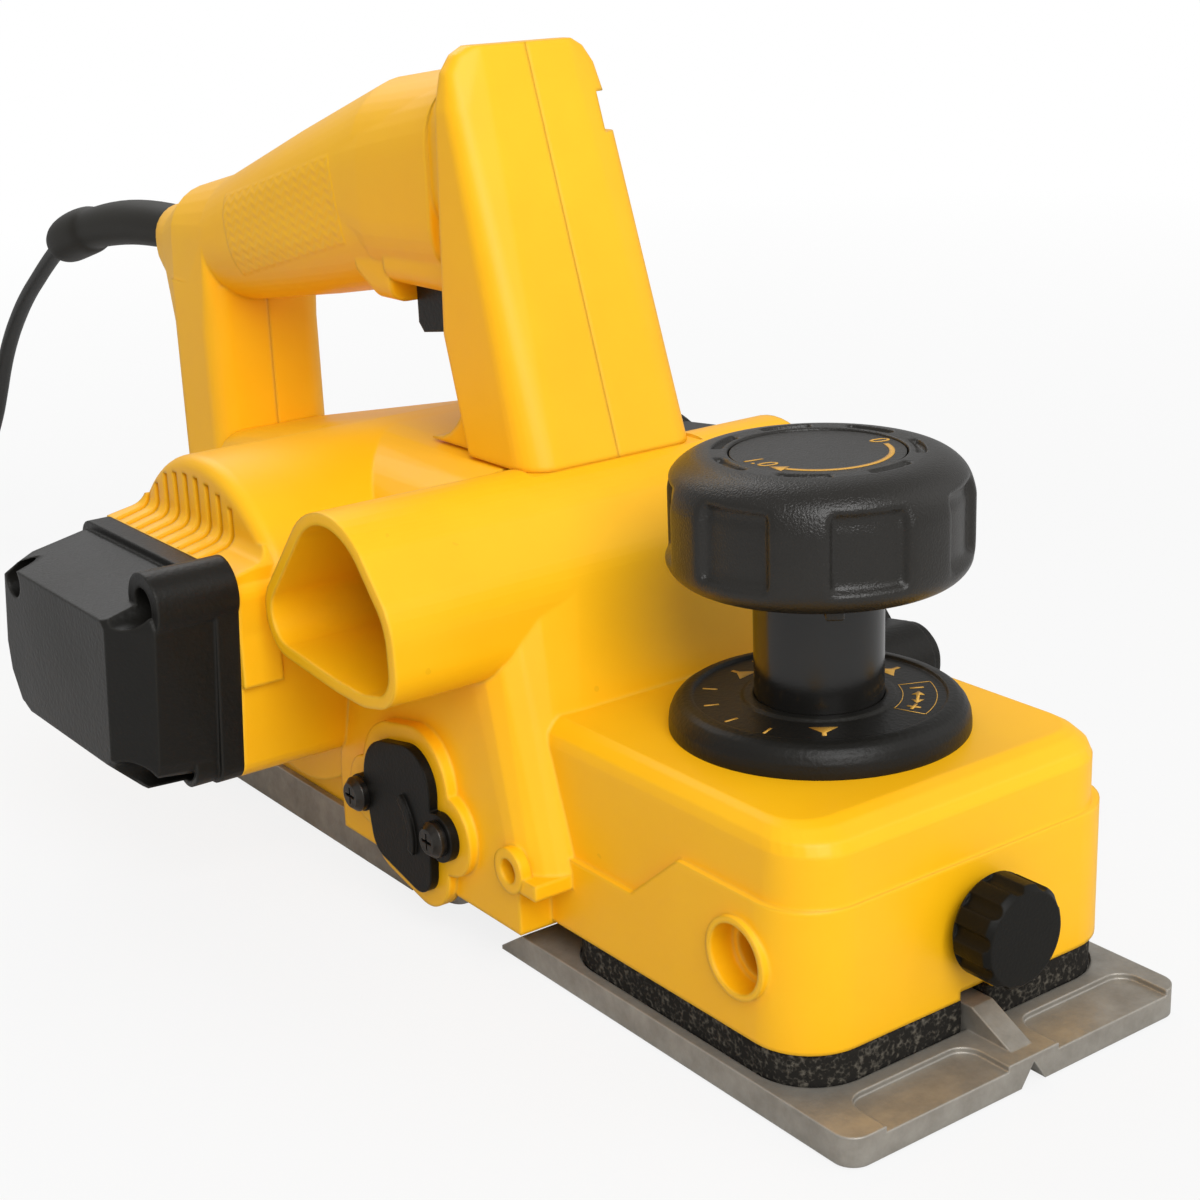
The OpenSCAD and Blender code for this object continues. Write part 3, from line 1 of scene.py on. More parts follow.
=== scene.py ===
import json, math
import bmesh, bpy
from mathutils import Matrix, Vector, noise as mathutils_noise
from mathutils.bvhtree import BVHTree
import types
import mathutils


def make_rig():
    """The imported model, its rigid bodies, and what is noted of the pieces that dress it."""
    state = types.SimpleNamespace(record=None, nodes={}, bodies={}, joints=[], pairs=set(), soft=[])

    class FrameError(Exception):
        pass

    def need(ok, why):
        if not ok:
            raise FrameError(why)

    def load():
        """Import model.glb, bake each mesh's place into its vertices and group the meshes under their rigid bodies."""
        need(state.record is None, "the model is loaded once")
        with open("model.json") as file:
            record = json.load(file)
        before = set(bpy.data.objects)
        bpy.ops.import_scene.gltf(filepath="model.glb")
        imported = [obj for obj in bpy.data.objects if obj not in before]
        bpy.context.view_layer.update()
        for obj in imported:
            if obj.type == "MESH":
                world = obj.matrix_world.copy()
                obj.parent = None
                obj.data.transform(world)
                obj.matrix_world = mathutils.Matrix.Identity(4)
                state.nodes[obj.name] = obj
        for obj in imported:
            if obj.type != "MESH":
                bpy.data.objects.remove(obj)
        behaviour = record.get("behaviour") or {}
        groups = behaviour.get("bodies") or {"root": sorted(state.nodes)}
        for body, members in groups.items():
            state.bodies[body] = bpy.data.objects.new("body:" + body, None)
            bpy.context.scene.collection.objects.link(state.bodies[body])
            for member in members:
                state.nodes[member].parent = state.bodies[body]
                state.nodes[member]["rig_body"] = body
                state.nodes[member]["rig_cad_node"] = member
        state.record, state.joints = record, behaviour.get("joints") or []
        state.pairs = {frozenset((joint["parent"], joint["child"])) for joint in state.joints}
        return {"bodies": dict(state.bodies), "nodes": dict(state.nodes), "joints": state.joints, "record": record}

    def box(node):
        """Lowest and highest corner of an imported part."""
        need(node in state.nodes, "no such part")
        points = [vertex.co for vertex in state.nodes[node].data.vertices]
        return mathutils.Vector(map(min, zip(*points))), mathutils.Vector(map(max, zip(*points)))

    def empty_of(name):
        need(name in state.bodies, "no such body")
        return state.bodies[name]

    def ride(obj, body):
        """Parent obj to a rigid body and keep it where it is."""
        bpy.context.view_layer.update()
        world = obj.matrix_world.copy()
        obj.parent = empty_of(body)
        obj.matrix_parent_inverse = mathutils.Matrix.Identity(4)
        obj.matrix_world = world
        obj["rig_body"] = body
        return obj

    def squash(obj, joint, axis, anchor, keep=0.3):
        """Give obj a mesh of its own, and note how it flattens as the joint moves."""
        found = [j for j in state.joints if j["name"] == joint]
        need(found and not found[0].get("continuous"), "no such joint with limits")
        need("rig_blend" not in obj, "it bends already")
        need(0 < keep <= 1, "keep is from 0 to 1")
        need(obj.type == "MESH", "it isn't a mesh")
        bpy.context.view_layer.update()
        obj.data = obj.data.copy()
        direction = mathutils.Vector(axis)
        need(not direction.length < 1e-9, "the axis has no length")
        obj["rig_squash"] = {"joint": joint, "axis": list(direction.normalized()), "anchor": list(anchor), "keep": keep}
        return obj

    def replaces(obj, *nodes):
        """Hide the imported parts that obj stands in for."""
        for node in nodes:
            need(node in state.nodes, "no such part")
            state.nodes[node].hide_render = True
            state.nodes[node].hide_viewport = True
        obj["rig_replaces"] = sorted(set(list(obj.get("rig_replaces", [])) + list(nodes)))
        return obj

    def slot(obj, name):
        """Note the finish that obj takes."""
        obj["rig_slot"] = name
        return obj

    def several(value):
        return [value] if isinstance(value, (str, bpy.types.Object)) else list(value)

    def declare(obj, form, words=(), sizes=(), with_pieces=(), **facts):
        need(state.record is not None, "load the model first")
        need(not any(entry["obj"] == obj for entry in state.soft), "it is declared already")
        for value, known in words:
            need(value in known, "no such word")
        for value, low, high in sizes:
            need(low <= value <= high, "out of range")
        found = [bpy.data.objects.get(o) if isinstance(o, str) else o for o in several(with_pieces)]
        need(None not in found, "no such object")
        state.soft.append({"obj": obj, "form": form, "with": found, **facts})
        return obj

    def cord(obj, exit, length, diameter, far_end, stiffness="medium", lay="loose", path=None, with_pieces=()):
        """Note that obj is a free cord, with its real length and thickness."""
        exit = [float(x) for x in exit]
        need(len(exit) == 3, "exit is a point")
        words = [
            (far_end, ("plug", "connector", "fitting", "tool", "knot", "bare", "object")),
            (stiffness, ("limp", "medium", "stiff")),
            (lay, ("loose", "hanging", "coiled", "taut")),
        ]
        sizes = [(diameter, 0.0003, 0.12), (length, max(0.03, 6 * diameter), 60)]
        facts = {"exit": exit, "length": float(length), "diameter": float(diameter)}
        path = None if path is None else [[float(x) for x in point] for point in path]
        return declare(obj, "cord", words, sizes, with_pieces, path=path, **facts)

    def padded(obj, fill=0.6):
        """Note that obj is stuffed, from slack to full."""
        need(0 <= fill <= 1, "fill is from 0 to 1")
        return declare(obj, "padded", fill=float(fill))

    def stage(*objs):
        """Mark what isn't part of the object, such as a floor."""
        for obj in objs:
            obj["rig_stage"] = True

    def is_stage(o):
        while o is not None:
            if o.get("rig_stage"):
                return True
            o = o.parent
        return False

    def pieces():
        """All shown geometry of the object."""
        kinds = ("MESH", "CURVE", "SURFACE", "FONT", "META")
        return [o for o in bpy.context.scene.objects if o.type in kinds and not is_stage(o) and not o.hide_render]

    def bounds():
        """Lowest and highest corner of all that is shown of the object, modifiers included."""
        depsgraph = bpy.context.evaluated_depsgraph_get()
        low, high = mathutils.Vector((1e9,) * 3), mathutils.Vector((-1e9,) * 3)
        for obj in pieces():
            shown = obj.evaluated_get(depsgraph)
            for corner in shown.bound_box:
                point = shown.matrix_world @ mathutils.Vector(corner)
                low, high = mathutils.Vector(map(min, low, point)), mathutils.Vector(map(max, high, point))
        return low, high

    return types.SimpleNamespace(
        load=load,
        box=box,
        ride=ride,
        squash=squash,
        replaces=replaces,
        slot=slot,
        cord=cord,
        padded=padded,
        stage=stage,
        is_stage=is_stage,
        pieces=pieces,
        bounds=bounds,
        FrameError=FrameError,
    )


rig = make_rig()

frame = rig.load()
nodes = frame["nodes"]
cad_low, cad_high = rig.bounds()
MM = 0.001

# ---------- image points ----------
# Places in the photograph's frame, 1200 x 1200: x alone, y alone, or both
POINTS = {
    "object_top": (None, 40), "object_right": (1173, None), "object_bottom": (None, 1170),
    "object_left": (1, None), "knob_left": (665, None), "knob_right": (975, None),
    "ring_left": (668, None), "ring_right": (970, None), "outlet_mouth_left": (264, None),
    "clamp_knob": (1011, 929), "upper_plate_screw": (354, 796), "lower_plate_screw": (431, 843),
    "dial_zero": (877, 440), "dial_one": (758, 462), "dial_one_end": (772, 465.6),
    "arc_start": (890, 443), "arc_tip": (778, 466), "tick_first": (757, 663), "tick_last": (767, 731),
    "mark_left": (744, 674), "mark_middle": (824, 731), "mark_right": (888, 671), "turn_arrow": (915, 697),
}

# ---------- camera ----------
IMAGE = 1200
LENS = 62.56
SENSOR = 36.0
AZIMUTH, ELEVATION, ROLL = -35.58, 18.20, -2.34
EYE = Vector((-0.24119, -0.36130, 0.19601))


def camera_axes():
    """The camera's side, up and back directions."""
    a, e, r = (math.radians(v) for v in (AZIMUTH, ELEVATION, ROLL))
    back = Vector((math.sin(a) * math.cos(e), -math.cos(a) * math.cos(e), math.sin(e)))
    side = Vector((math.cos(a), math.sin(a), 0))
    up = side.cross(-back)
    return (math.cos(r) * side + math.sin(r) * up, -math.sin(r) * side + math.cos(r) * up, back)


def make_camera():
    """The camera of the photograph, solved from the sole, the nose and the knob."""
    data = bpy.data.cameras.new("photo_camera")
    data.lens, data.sensor_width, data.sensor_fit = LENS, SENSOR, "AUTO"
    data.clip_start, data.clip_end = 0.01, 20
    camera = bpy.data.objects.new("photo_camera", data)
    bpy.context.scene.collection.objects.link(camera)
    side, up, back = camera_axes()
    camera.matrix_world = Matrix.Translation(EYE) @ Matrix((side, up, back)).transposed().to_4x4()
    bpy.context.scene.camera = camera


make_camera()


def to_image(place):
    """Where a place shows, in pixels of the photograph's frame."""
    side, up, back = camera_axes()
    v = Vector(place) - EYE
    scale = LENS / SENSOR * IMAGE / -v.dot(back)
    return IMAGE / 2 + v.dot(side) * scale, IMAGE / 2 - v.dot(up) * scale


def carrier_tree(*names):
    """A search tree of what carries a piece, as finished and placed."""
    verts, faces = [], []
    for name in names:
        mesh = bpy.data.objects[name].data
        start = len(verts)
        verts.extend(v.co.copy() for v in mesh.vertices)
        faces.extend([start + i for i in p.vertices] for p in mesh.polygons)
    return BVHTree.FromPolygons(verts, faces)


# Where the search beside a line of sight starts, in metres from the eye, and its steps
SEARCH_FROM, SEARCH_STEP, SEARCH_STEPS = 0.2, 0.002, 250


def placed(point, tree):
    """The place on the carrier that shows at an image point, or the nearest to its line of sight."""
    x, y = point
    side, up, back = camera_axes()
    ray = (x - IMAGE / 2) * side + (IMAGE / 2 - y) * up - IMAGE * LENS / SENSOR * back
    ray.normalize()
    place = tree.ray_cast(EYE, ray)[0]
    if place is None:
        steps = [EYE + ray * (SEARCH_FROM + SEARCH_STEP * i) for i in range(SEARCH_STEPS)]
        place = min((tree.find_nearest(q) for q in steps), key=lambda hit: hit[3])[0]
    return place


# ---------- mesh tools ----------
# Vertices nearer than this are merged, in metres
WELD = 1e-6


def verts_of(geom):
    """The vertices among what an operator made."""
    return [g for g in geom if isinstance(g, bmesh.types.BMVert)]


def new_piece(name, bm, material, body, slot):
    """Turns a bmesh into a piece that rides on a body."""
    bmesh.ops.recalc_face_normals(bm, faces=bm.faces)
    mesh = bpy.data.meshes.new(name)
    bm.to_mesh(mesh)
    bm.free()
    mesh.materials.append(material)
    for face in mesh.polygons:
        face.use_smooth = True
    piece = bpy.data.objects.new(name, mesh)
    bpy.context.scene.collection.objects.link(piece)
    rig.ride(piece, body)
    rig.slot(piece, slot)
    return piece


def subdivided(piece, levels):
    """The piece, with its faces smoothed by subdivision."""
    finish = piece.modifiers.new("smooth", "SUBSURF")
    finish.levels = finish.render_levels = levels
    return piece


def lathe(bm, profile, steps, centre, start, angle=2 * math.pi):
    """Turns a profile of (radius, height) points round the vertical axis through a centre."""
    turn = Matrix.Translation(centre) @ Matrix.Rotation(start, 4, "Z")
    verts = [bm.verts.new(turn @ Vector((r, 0, z))) for r, z in profile]
    edges = [bm.edges.new(pair) for pair in zip(verts, verts[1:])]
    full = math.isclose(abs(angle), 2 * math.pi)
    bmesh.ops.spin(bm, geom=verts + edges, cent=centre, axis=(0, 0, 1), angle=angle, steps=steps,
                   use_merge=full, use_duplicate=False)
    bmesh.ops.remove_doubles(bm, verts=bm.verts, dist=WELD)


def sweep(bm, path, radii, sides):
    """Draws a round section along a path, with a radius at each of its points."""
    path = [Vector(p) for p in path]
    last = len(path) - 1
    ways = [(path[min(i + 1, last)] - path[max(i - 1, 0)]).normalized() for i in range(last + 1)]
    turn = Vector((0, 0, 1)).rotation_difference(ways[0])
    made = bmesh.ops.create_circle(bm, cap_ends=True, segments=sides, radius=1)["verts"]
    before = Matrix.Identity(4)
    for i, (place, way, radius) in enumerate(zip(path, ways, radii)):
        if i:
            turn = ways[i - 1].rotation_difference(way) @ turn
            edges = [e for e in bm.edges if e.is_boundary]
            made = verts_of(bmesh.ops.extrude_edge_only(bm, edges=edges)["geom"])
        after = Matrix.LocRotScale(place, turn, (radius, radius, radius))
        bmesh.ops.transform(bm, matrix=after @ before.inverted(), verts=made)
        before = after
    bmesh.ops.edgeloop_fill(bm, edges=[e for e in bm.edges if e.is_boundary])


# ---------- node tools ----------
def new_material(name):
    """An empty material with its shader joined to its output."""
    material = bpy.data.materials.new(name)
    material.use_nodes = True
    tree = material.node_tree
    tree.nodes.clear()
    shader = tree.nodes.new("ShaderNodeBsdfPrincipled")
    out = tree.nodes.new("ShaderNodeOutputMaterial")
    tree.links.new(shader.outputs[0], out.inputs[0])
    return material, tree, shader


def new_group(name, inputs, outputs):
    """An empty node group with its sockets, and its inlet and outlet nodes."""
    group = bpy.data.node_groups.new(name, "ShaderNodeTree")
    for label, kind, value in inputs:
        socket = group.interface.new_socket(label, in_out="INPUT", socket_type=kind)
        if value is not None:
            socket.default_value = value
    for label, kind in outputs:
        group.interface.new_socket(label, in_out="OUTPUT", socket_type=kind)
    return group, group.nodes.new("NodeGroupInput"), group.nodes.new("NodeGroupOutput")


def put(tree, kind, **values):
    """A new node, with its settings or its inputs set by name."""
    node = tree.nodes.new(kind)
    for key, value in values.items():
        if hasattr(node, key):
            setattr(node, key, value)
        else:
            node.inputs[key.replace("_", " ")].default_value = value
    return node


def maths(tree, operation, *values):
    """What a Math node makes of sockets or numbers."""
    node = put(tree, "ShaderNodeMath", operation=operation)
    for socket, value in zip(node.inputs, values):
        if isinstance(value, (int, float)):
            socket.default_value = value
        else:
            tree.links.new(value, socket)
    return node.outputs[0]


def mix_colour(tree, mask, a, b):
    """Colour a where the mask is 0 and colour b where it is 1."""
    node = put(tree, "ShaderNodeMix", data_type="RGBA")
    tree.links.new(mask, node.inputs[0])
    for socket, colour in ((node.inputs[6], a), (node.inputs[7], b)):
        if isinstance(colour, tuple):
            socket.default_value = (*colour, 1)
        else:
            tree.links.new(colour, socket)
    return node.outputs[2]


def ramp(tree, value, low, high):
    """0 where the value is at its low end and 1 at its high end."""
    node = put(tree, "ShaderNodeMapRange", From_Min=low, From_Max=high)
    tree.links.new(value, node.inputs["Value"])
    return node.outputs[0]


def noise(tree, place, scale, detail, rough=0.5):
    """Soft noise, with so many features to a metre."""
    node = put(tree, "ShaderNodeTexNoise", Scale=scale, Detail=detail, Roughness=rough)
    tree.links.new(place, node.inputs["Vector"])
    return node.outputs[0]


def here(tree):
    """The place on the surface, in the object's own coordinates."""
    return tree.nodes.new("ShaderNodeTexCoord").outputs["Object"]


def srgb(r, g, b):
    """A linear colour from three screen values of 0 to 255."""
    return tuple(((c / 255 + 0.055) / 1.055) ** 2.4 if c > 10 else c / 255 / 12.92 for c in (r, g, b))


# ---------- shared effects ----------
def make_moulded_skin():
    """Fine spark-eroded grain over rounded edges: a normal, a soft mottle and a mask of the edges."""
    group, inlet, outlet = new_group(
        "moulded_skin",
        [("Place", "NodeSocketVector", None), ("Grain Scale", "NodeSocketFloat", 2600.0),
         ("Grain Depth", "NodeSocketFloat", 0.12), ("Edge Radius", "NodeSocketFloat", 0.0008)],
        [("Normal", "NodeSocketVector"), ("Mottle", "NodeSocketFloat"), ("Edge", "NodeSocketFloat")])
    join = group.links.new
    rounded = put(group, "ShaderNodeBevel", samples=6)
    join(inlet.outputs["Edge Radius"], rounded.inputs["Radius"])
    face = put(group, "ShaderNodeNewGeometry")
    agree = put(group, "ShaderNodeVectorMath", operation="DOT_PRODUCT")
    join(rounded.outputs[0], agree.inputs[0])
    join(face.outputs["Normal"], agree.inputs[1])
    join(ramp(group, agree.outputs["Value"], 0.995, 0.86), outlet.inputs["Edge"])
    grain = put(group, "ShaderNodeTexNoise", Detail=2)
    join(inlet.outputs["Grain Scale"], grain.inputs["Scale"])
    join(inlet.outputs["Place"], grain.inputs["Vector"])
    bump = put(group, "ShaderNodeBump", Distance=0.0002)
    join(inlet.outputs["Grain Depth"], bump.inputs["Strength"])
    join(grain.outputs[0], bump.inputs["Height"])
    join(rounded.outputs[0], bump.inputs["Normal"])
    join(bump.outputs[0], outlet.inputs["Normal"])
    join(ramp(group, noise(group, inlet.outputs["Place"], 22, 5, 0.6), 0.3, 0.7), outlet.inputs["Mottle"])
    return group


def make_scuffs():
    """Sparse dark specks and short smears, as on used plastic."""
    group, inlet, outlet = new_group(
        "scuffs", [("Place", "NodeSocketVector", None), ("Amount", "NodeSocketFloat", 0.5)],
        [("Dirt", "NodeSocketFloat"), ("Smear", "NodeSocketFloat")])
    join = group.links.new
    place, amount = inlet.outputs["Place"], inlet.outputs["Amount"]
    cells = put(group, "ShaderNodeTexVoronoi", Scale=140.0)
    join(place, cells.inputs["Vector"])
    speck = maths(group, "LESS_THAN", cells.outputs["Distance"], 0.10)
    rare = maths(group, "GREATER_THAN", noise(group, place, 60, 2), 0.62)
    join(maths(group, "MULTIPLY", maths(group, "MULTIPLY", speck, rare), amount), outlet.inputs["Dirt"])
    stretch = put(group, "ShaderNodeMapping", Scale=(1, 3.5, 0.7))
    join(place, stretch.inputs["Vector"])
    smear = ramp(group, noise(group, stretch.outputs[0], 45, 4, 0.65), 0.55, 0.8)
    join(maths(group, "MULTIPLY", smear, amount), outlet.inputs["Smear"])
    return group


moulded_skin = make_moulded_skin()
scuffs = make_scuffs()


def use(tree, group, place, **values):
    """A shared effect in a material, with the material's own values."""
    node = tree.nodes.new("ShaderNodeGroup")
    node.node_tree = group
    tree.links.new(place, node.inputs["Place"])
    for key, value in values.items():
        node.inputs[key.replace("_", " ")].default_value = value
    return node


# ---------- materials ----------
# How far a plastic's edges pale, its smears and specks darken, and its roughness varies
PALE_EDGE, DARK_SMEAR, SPECK_SHADE, ROUGH_VARIES = 0.35, 0.25, 0.25, 0.08
# How far a metal's edges brighten, and how much smoother its blotches are
BRIGHT_EDGE, SMOOTH_BLOTCH = 0.6, 0.15


def plastic(name, colour, deep, light, roughness, grain, scale, edge, dirt, gloss=0.5):
    """A grained moulding between two colours, with lighter edges, smears and specks."""
    material, tree, shader = new_material(name)
    place = here(tree)
    skin = use(tree, moulded_skin, place, Grain_Scale=scale, Grain_Depth=grain, Edge_Radius=edge)
    marks = use(tree, scuffs, place, Amount=dirt)
    tone = mix_colour(tree, skin.outputs["Mottle"], deep, colour)
    worn = mix_colour(tree, maths(tree, "MULTIPLY", skin.outputs["Edge"], PALE_EDGE), tone, light)
    smeared = mix_colour(tree, maths(tree, "MULTIPLY", marks.outputs["Smear"], DARK_SMEAR), worn, deep)
    dark = tuple(c * SPECK_SHADE for c in deep)
    tree.links.new(mix_colour(tree, marks.outputs["Dirt"], smeared, dark), shader.inputs["Base Color"])
    rough = maths(tree, "MULTIPLY_ADD", skin.outputs["Mottle"], ROUGH_VARIES, roughness - ROUGH_VARIES / 2)
    tree.links.new(rough, shader.inputs["Roughness"])
    tree.links.new(skin.outputs["Normal"], shader.inputs["Normal"])
    shader.inputs["Specular IOR Level"].default_value = gloss
    return material


def metal(name, colour, dark, roughness, metallic, grain, scale, edge, streak=(1, 1, 1)):
    """A metal in blotches of two colours, with bright edges; a streak stretches its pattern."""
    material, tree, shader = new_material(name)
    mapping = put(tree, "ShaderNodeMapping", Scale=streak)
    tree.links.new(here(tree), mapping.inputs["Vector"])
    place = mapping.outputs[0]
    skin = use(tree, moulded_skin, place, Grain_Scale=scale, Grain_Depth=grain, Edge_Radius=edge)
    blotch = ramp(tree, noise(tree, place, 160, 6, 0.65), 0.35, 0.7)
    tone = mix_colour(tree, blotch, dark, colour)
    bright = tuple(min(1, c * 1.35 + 0.05) for c in colour)
    worn = mix_colour(tree, maths(tree, "MULTIPLY", skin.outputs["Edge"], BRIGHT_EDGE), tone, bright)
    tree.links.new(worn, shader.inputs["Base Color"])
    rough = maths(tree, "MULTIPLY_ADD", blotch, -SMOOTH_BLOTCH, roughness + 0.08)
    tree.links.new(rough, shader.inputs["Roughness"])
    tree.links.new(skin.outputs["Normal"], shader.inputs["Normal"])
    shader.inputs["Metallic"].default_value = metallic
    return material


def cellular(name):
    """Black open-celled foam: cell walls painted pale as if lit, round holes painted dark as if in shade."""
    material, tree, shader = new_material(name)
    place = here(tree)
    cells = put(tree, "ShaderNodeTexVoronoi", Scale=1100.0)
    tree.links.new(place, cells.inputs["Vector"])
    walls = ramp(tree, cells.outputs["Distance"], 0.35, 0.75)
    painted_cell_light_and_bump = maths(tree, "MULTIPLY", walls, ramp(tree, noise(tree, place, 700, 3, 0.7), 0.45, 0.6))
    # Painted light and shade: lit cell walls take the pale colour, shaded holes the dark one
    tone = mix_colour(tree, painted_cell_light_and_bump, srgb(33, 31, 28), srgb(92, 87, 78))
    tree.links.new(tone, shader.inputs["Base Color"])
    bump = put(tree, "ShaderNodeBump", Strength=0.8, Distance=0.0003)
    tree.links.new(painted_cell_light_and_bump, bump.inputs["Height"])
    tree.links.new(bump.outputs[0], shader.inputs["Normal"])
    shader.inputs["Roughness"].default_value = 0.95
    shader.inputs["Specular IOR Level"].default_value = 0.15
    return material


# The grip's panel: its middle, its slope in degrees, half its length and height, and its soft rim
GRIP_MIDDLE, GRIP_SLOPE = (0, 0.075, 0.132), -13.5
GRIP_LONG, GRIP_HIGH, GRIP_RIM = 0.029, 0.0102, 0.0008
ROW_SPACING, ROW_DEPTH, WAVE_LENGTH, WAVE_SWAY = 0.0024, 0.35, 0.0046, 1.2


def add_grip(material):
    """Wavy raised rows in a panel on each side of the handle's grip."""
    tree = material.node_tree
    shader = tree.nodes["Principled BSDF"]
    turn = put(tree, "ShaderNodeMapping", vector_type="TEXTURE", Location=GRIP_MIDDLE,
               Rotation=(math.radians(GRIP_SLOPE), 0, 0))
    tree.links.new(here(tree), turn.inputs["Vector"])
    split = put(tree, "ShaderNodeSeparateXYZ")
    tree.links.new(turn.outputs[0], split.inputs[0])
    along, across = split.outputs["Y"], split.outputs["Z"]
    long = ramp(tree, maths(tree, "ABSOLUTE", along), GRIP_LONG, GRIP_LONG - GRIP_RIM)
    high = ramp(tree, maths(tree, "ABSOLUTE", across), GRIP_HIGH, GRIP_HIGH - GRIP_RIM)
    inside = maths(tree, "MULTIPLY", long, high)
    sway = maths(tree, "SINE", maths(tree, "MULTIPLY", along, 2 * math.pi / WAVE_LENGTH))
    rise = maths(tree, "MULTIPLY", across, 2 * math.pi / ROW_SPACING)
    phase = maths(tree, "ADD", rise, maths(tree, "MULTIPLY", sway, WAVE_SWAY))
    rows = maths(tree, "MULTIPLY_ADD", maths(tree, "SINE", phase), ROW_DEPTH, 1.0)
    bump = put(tree, "ShaderNodeBump", Strength=0.4, Distance=0.0005)
    tree.links.new(maths(tree, "MULTIPLY", rows, inside), bump.inputs["Height"])
    tree.links.new(shader.inputs["Normal"].links[0].from_socket, bump.inputs["Normal"])
    tree.links.new(bump.outputs[0], shader.inputs["Normal"])


YELLOW = srgb(251, 189, 18), srgb(247, 180, 8), srgb(255, 208, 66)
yellow = plastic("yellow_moulding", *YELLOW,
                 roughness=0.4, grain=0.05, scale=1500.0, edge=0.0012, dirt=0.12, gloss=0.32)
gripped_yellow = plastic("yellow_handle", *YELLOW,
                         roughness=0.42, grain=0.05, scale=1500.0, edge=0.0016, dirt=0.12, gloss=0.32)
black = plastic("black_moulding", srgb(27, 26, 23), srgb(19, 18, 16), srgb(58, 56, 51),
                roughness=0.4, grain=0.4, scale=1100.0, edge=0.0009, dirt=0.1, gloss=0.22)
plate_black = plastic("plate_black", srgb(19, 18, 15), srgb(14, 13, 11), srgb(48, 46, 42),
                      roughness=0.4, grain=0.2, scale=1500.0, edge=0.0006, dirt=0.05, gloss=0.12)
knob_black = plastic("grained_black", srgb(36, 34, 30), srgb(29, 27, 24), srgb(68, 65, 58),
                     roughness=0.34, grain=0.6, scale=2600.0, edge=0.0003, dirt=0.1, gloss=0.36)
smooth_black = plastic("smooth_black_moulding", srgb(24, 23, 21), srgb(18, 17, 15), srgb(50, 48, 44),
                       roughness=0.2, grain=0.05, scale=1500.0, edge=0.0006, dirt=0.05)
boot_rubber = plastic("boot_rubber", srgb(38, 36, 30), srgb(31, 29, 25), srgb(54, 51, 45),
                      roughness=0.55, grain=0.1, scale=1500.0, edge=0.0004, dirt=0.1, gloss=0.2)
gold_ink = plastic("gold_ink", srgb(222, 170, 70), srgb(204, 152, 56), srgb(230, 182, 90),
                   roughness=0.5, grain=0.05, scale=1500.0, edge=0.0001, dirt=0.0)
cast_grey = metal("cast_aluminium", srgb(160, 155, 146), srgb(139, 134, 125),
                  roughness=0.42, metallic=0.5, grain=0.6, scale=420.0, edge=0.0006)
machined = metal("machined_aluminium", srgb(190, 188, 184), srgb(150, 148, 145), roughness=0.3,
                 metallic=1.0, grain=0.1, scale=1500.0, edge=0.0004, streak=(0.2, 1, 1))
bright_steel = metal("bright_steel", srgb(176, 175, 172), srgb(130, 129, 126),
                     roughness=0.28, metallic=1.0, grain=0.08, scale=1500.0, edge=0.0003)
dark_steel = metal("dark_steel", srgb(70, 67, 63), srgb(38, 36, 34),
                   roughness=0.34, metallic=0.85, grain=0.1, scale=1500.0, edge=0.0003)
copper = metal("enamelled_copper", srgb(186, 110, 60), srgb(134, 70, 34), roughness=0.35,
               metallic=0.9, grain=0.2, scale=1500.0, edge=0.0003, streak=(0.1, 1, 1))
laminated = metal("stacked_laminations", srgb(128, 126, 122), srgb(84, 82, 78), roughness=0.45,
                  metallic=0.8, grain=0.4, scale=900.0, edge=0.0003, streak=(12, 1, 1))
brass = metal("brass", srgb(196, 158, 84), srgb(150, 116, 56),
              roughness=0.3, metallic=1.0, grain=0.06, scale=1500.0, edge=0.0003)
cord_rubber = plastic("cord_rubber", srgb(34, 33, 30), srgb(26, 25, 23), srgb(58, 56, 52),
                      roughness=0.5, grain=0.15, scale=1800.0, edge=0.0005, dirt=0.2)
foam = cellular("foam")
add_grip(gripped_yellow)

finish_of = {
    "yellow_plastic": yellow, "black_plastic": black, "cast_aluminium": cast_grey,
    "machined_aluminium": machined, "steel": bright_steel, "black_steel": dark_steel,
    "spring_steel": bright_steel, "foam": foam, "laminations": laminated, "copper": copper,
    "brass": brass, "carbon": cord_rubber, "cord_rubber": cord_rubber, "belt_rubber": cord_rubber,
    "nickel": bright_steel,
}
own_finish = {
    "knob_post": smooth_black, "knob_dial": knob_black, "clamp_knob": plate_black,
    "bearing_plate": plate_black, "handle_left": gripped_yellow, "handle_right": gripped_yellow,
}
for part in frame["record"]["subparts"]:
    name = part["node"]
    mesh = nodes[name].data
    mesh.materials.clear()
    mesh.materials.append(own_finish.get(name, finish_of[part["material_slot"]]))

# ---------- cord ----------
CORD_D = 0.005
# The route from the boot's collar to the coil, in millimetres as the coil's values are
ROUTE = [(0, 246.5, 107.7), (0, 254, 104.2), (0, 262, 99.8), (0, 271, 94.4), (0, 282, 87.5), (0, 292.5, 79.6),
         (0, 302.5, 70.6), (0, 311, 61), (0, 318, 51.3), (-0.5, 324.5, 41.3), (-2, 331.5, 31), (-5, 339, 21),
         (-10, 347, 13), (-13.4, 355, 8.4), (-14.4, 366, 5.6), (-12.9, 379, 4.2), (-10.9, 390, 3.8)]
COIL_CENTRE = (-45, 400)
COIL_INNER, COIL_PITCH, COIL_ACROSS, COIL_LAYERS = 20, 5.0, 4, 4
COIL_START, COIL_STEPS = -4.6, 18
# The lowest turns' height, how many turns the last layer is short of full, and the strap's angle
COIL_LOWEST, COIL_SHORT, STRAP_AT = 3.7, 1.57, 60
# From the coil's last turn round its side to the plug
LEAD_OUT = [(-79, 410, 18.7), (-83, 401, 18.2), (-84.4, 392.3, 17.2), (-82, 383.4, 15.6), (-77.4, 375.4, 14),
            (-73.2, 368.6, 13.1), (-71, 361, 13)]


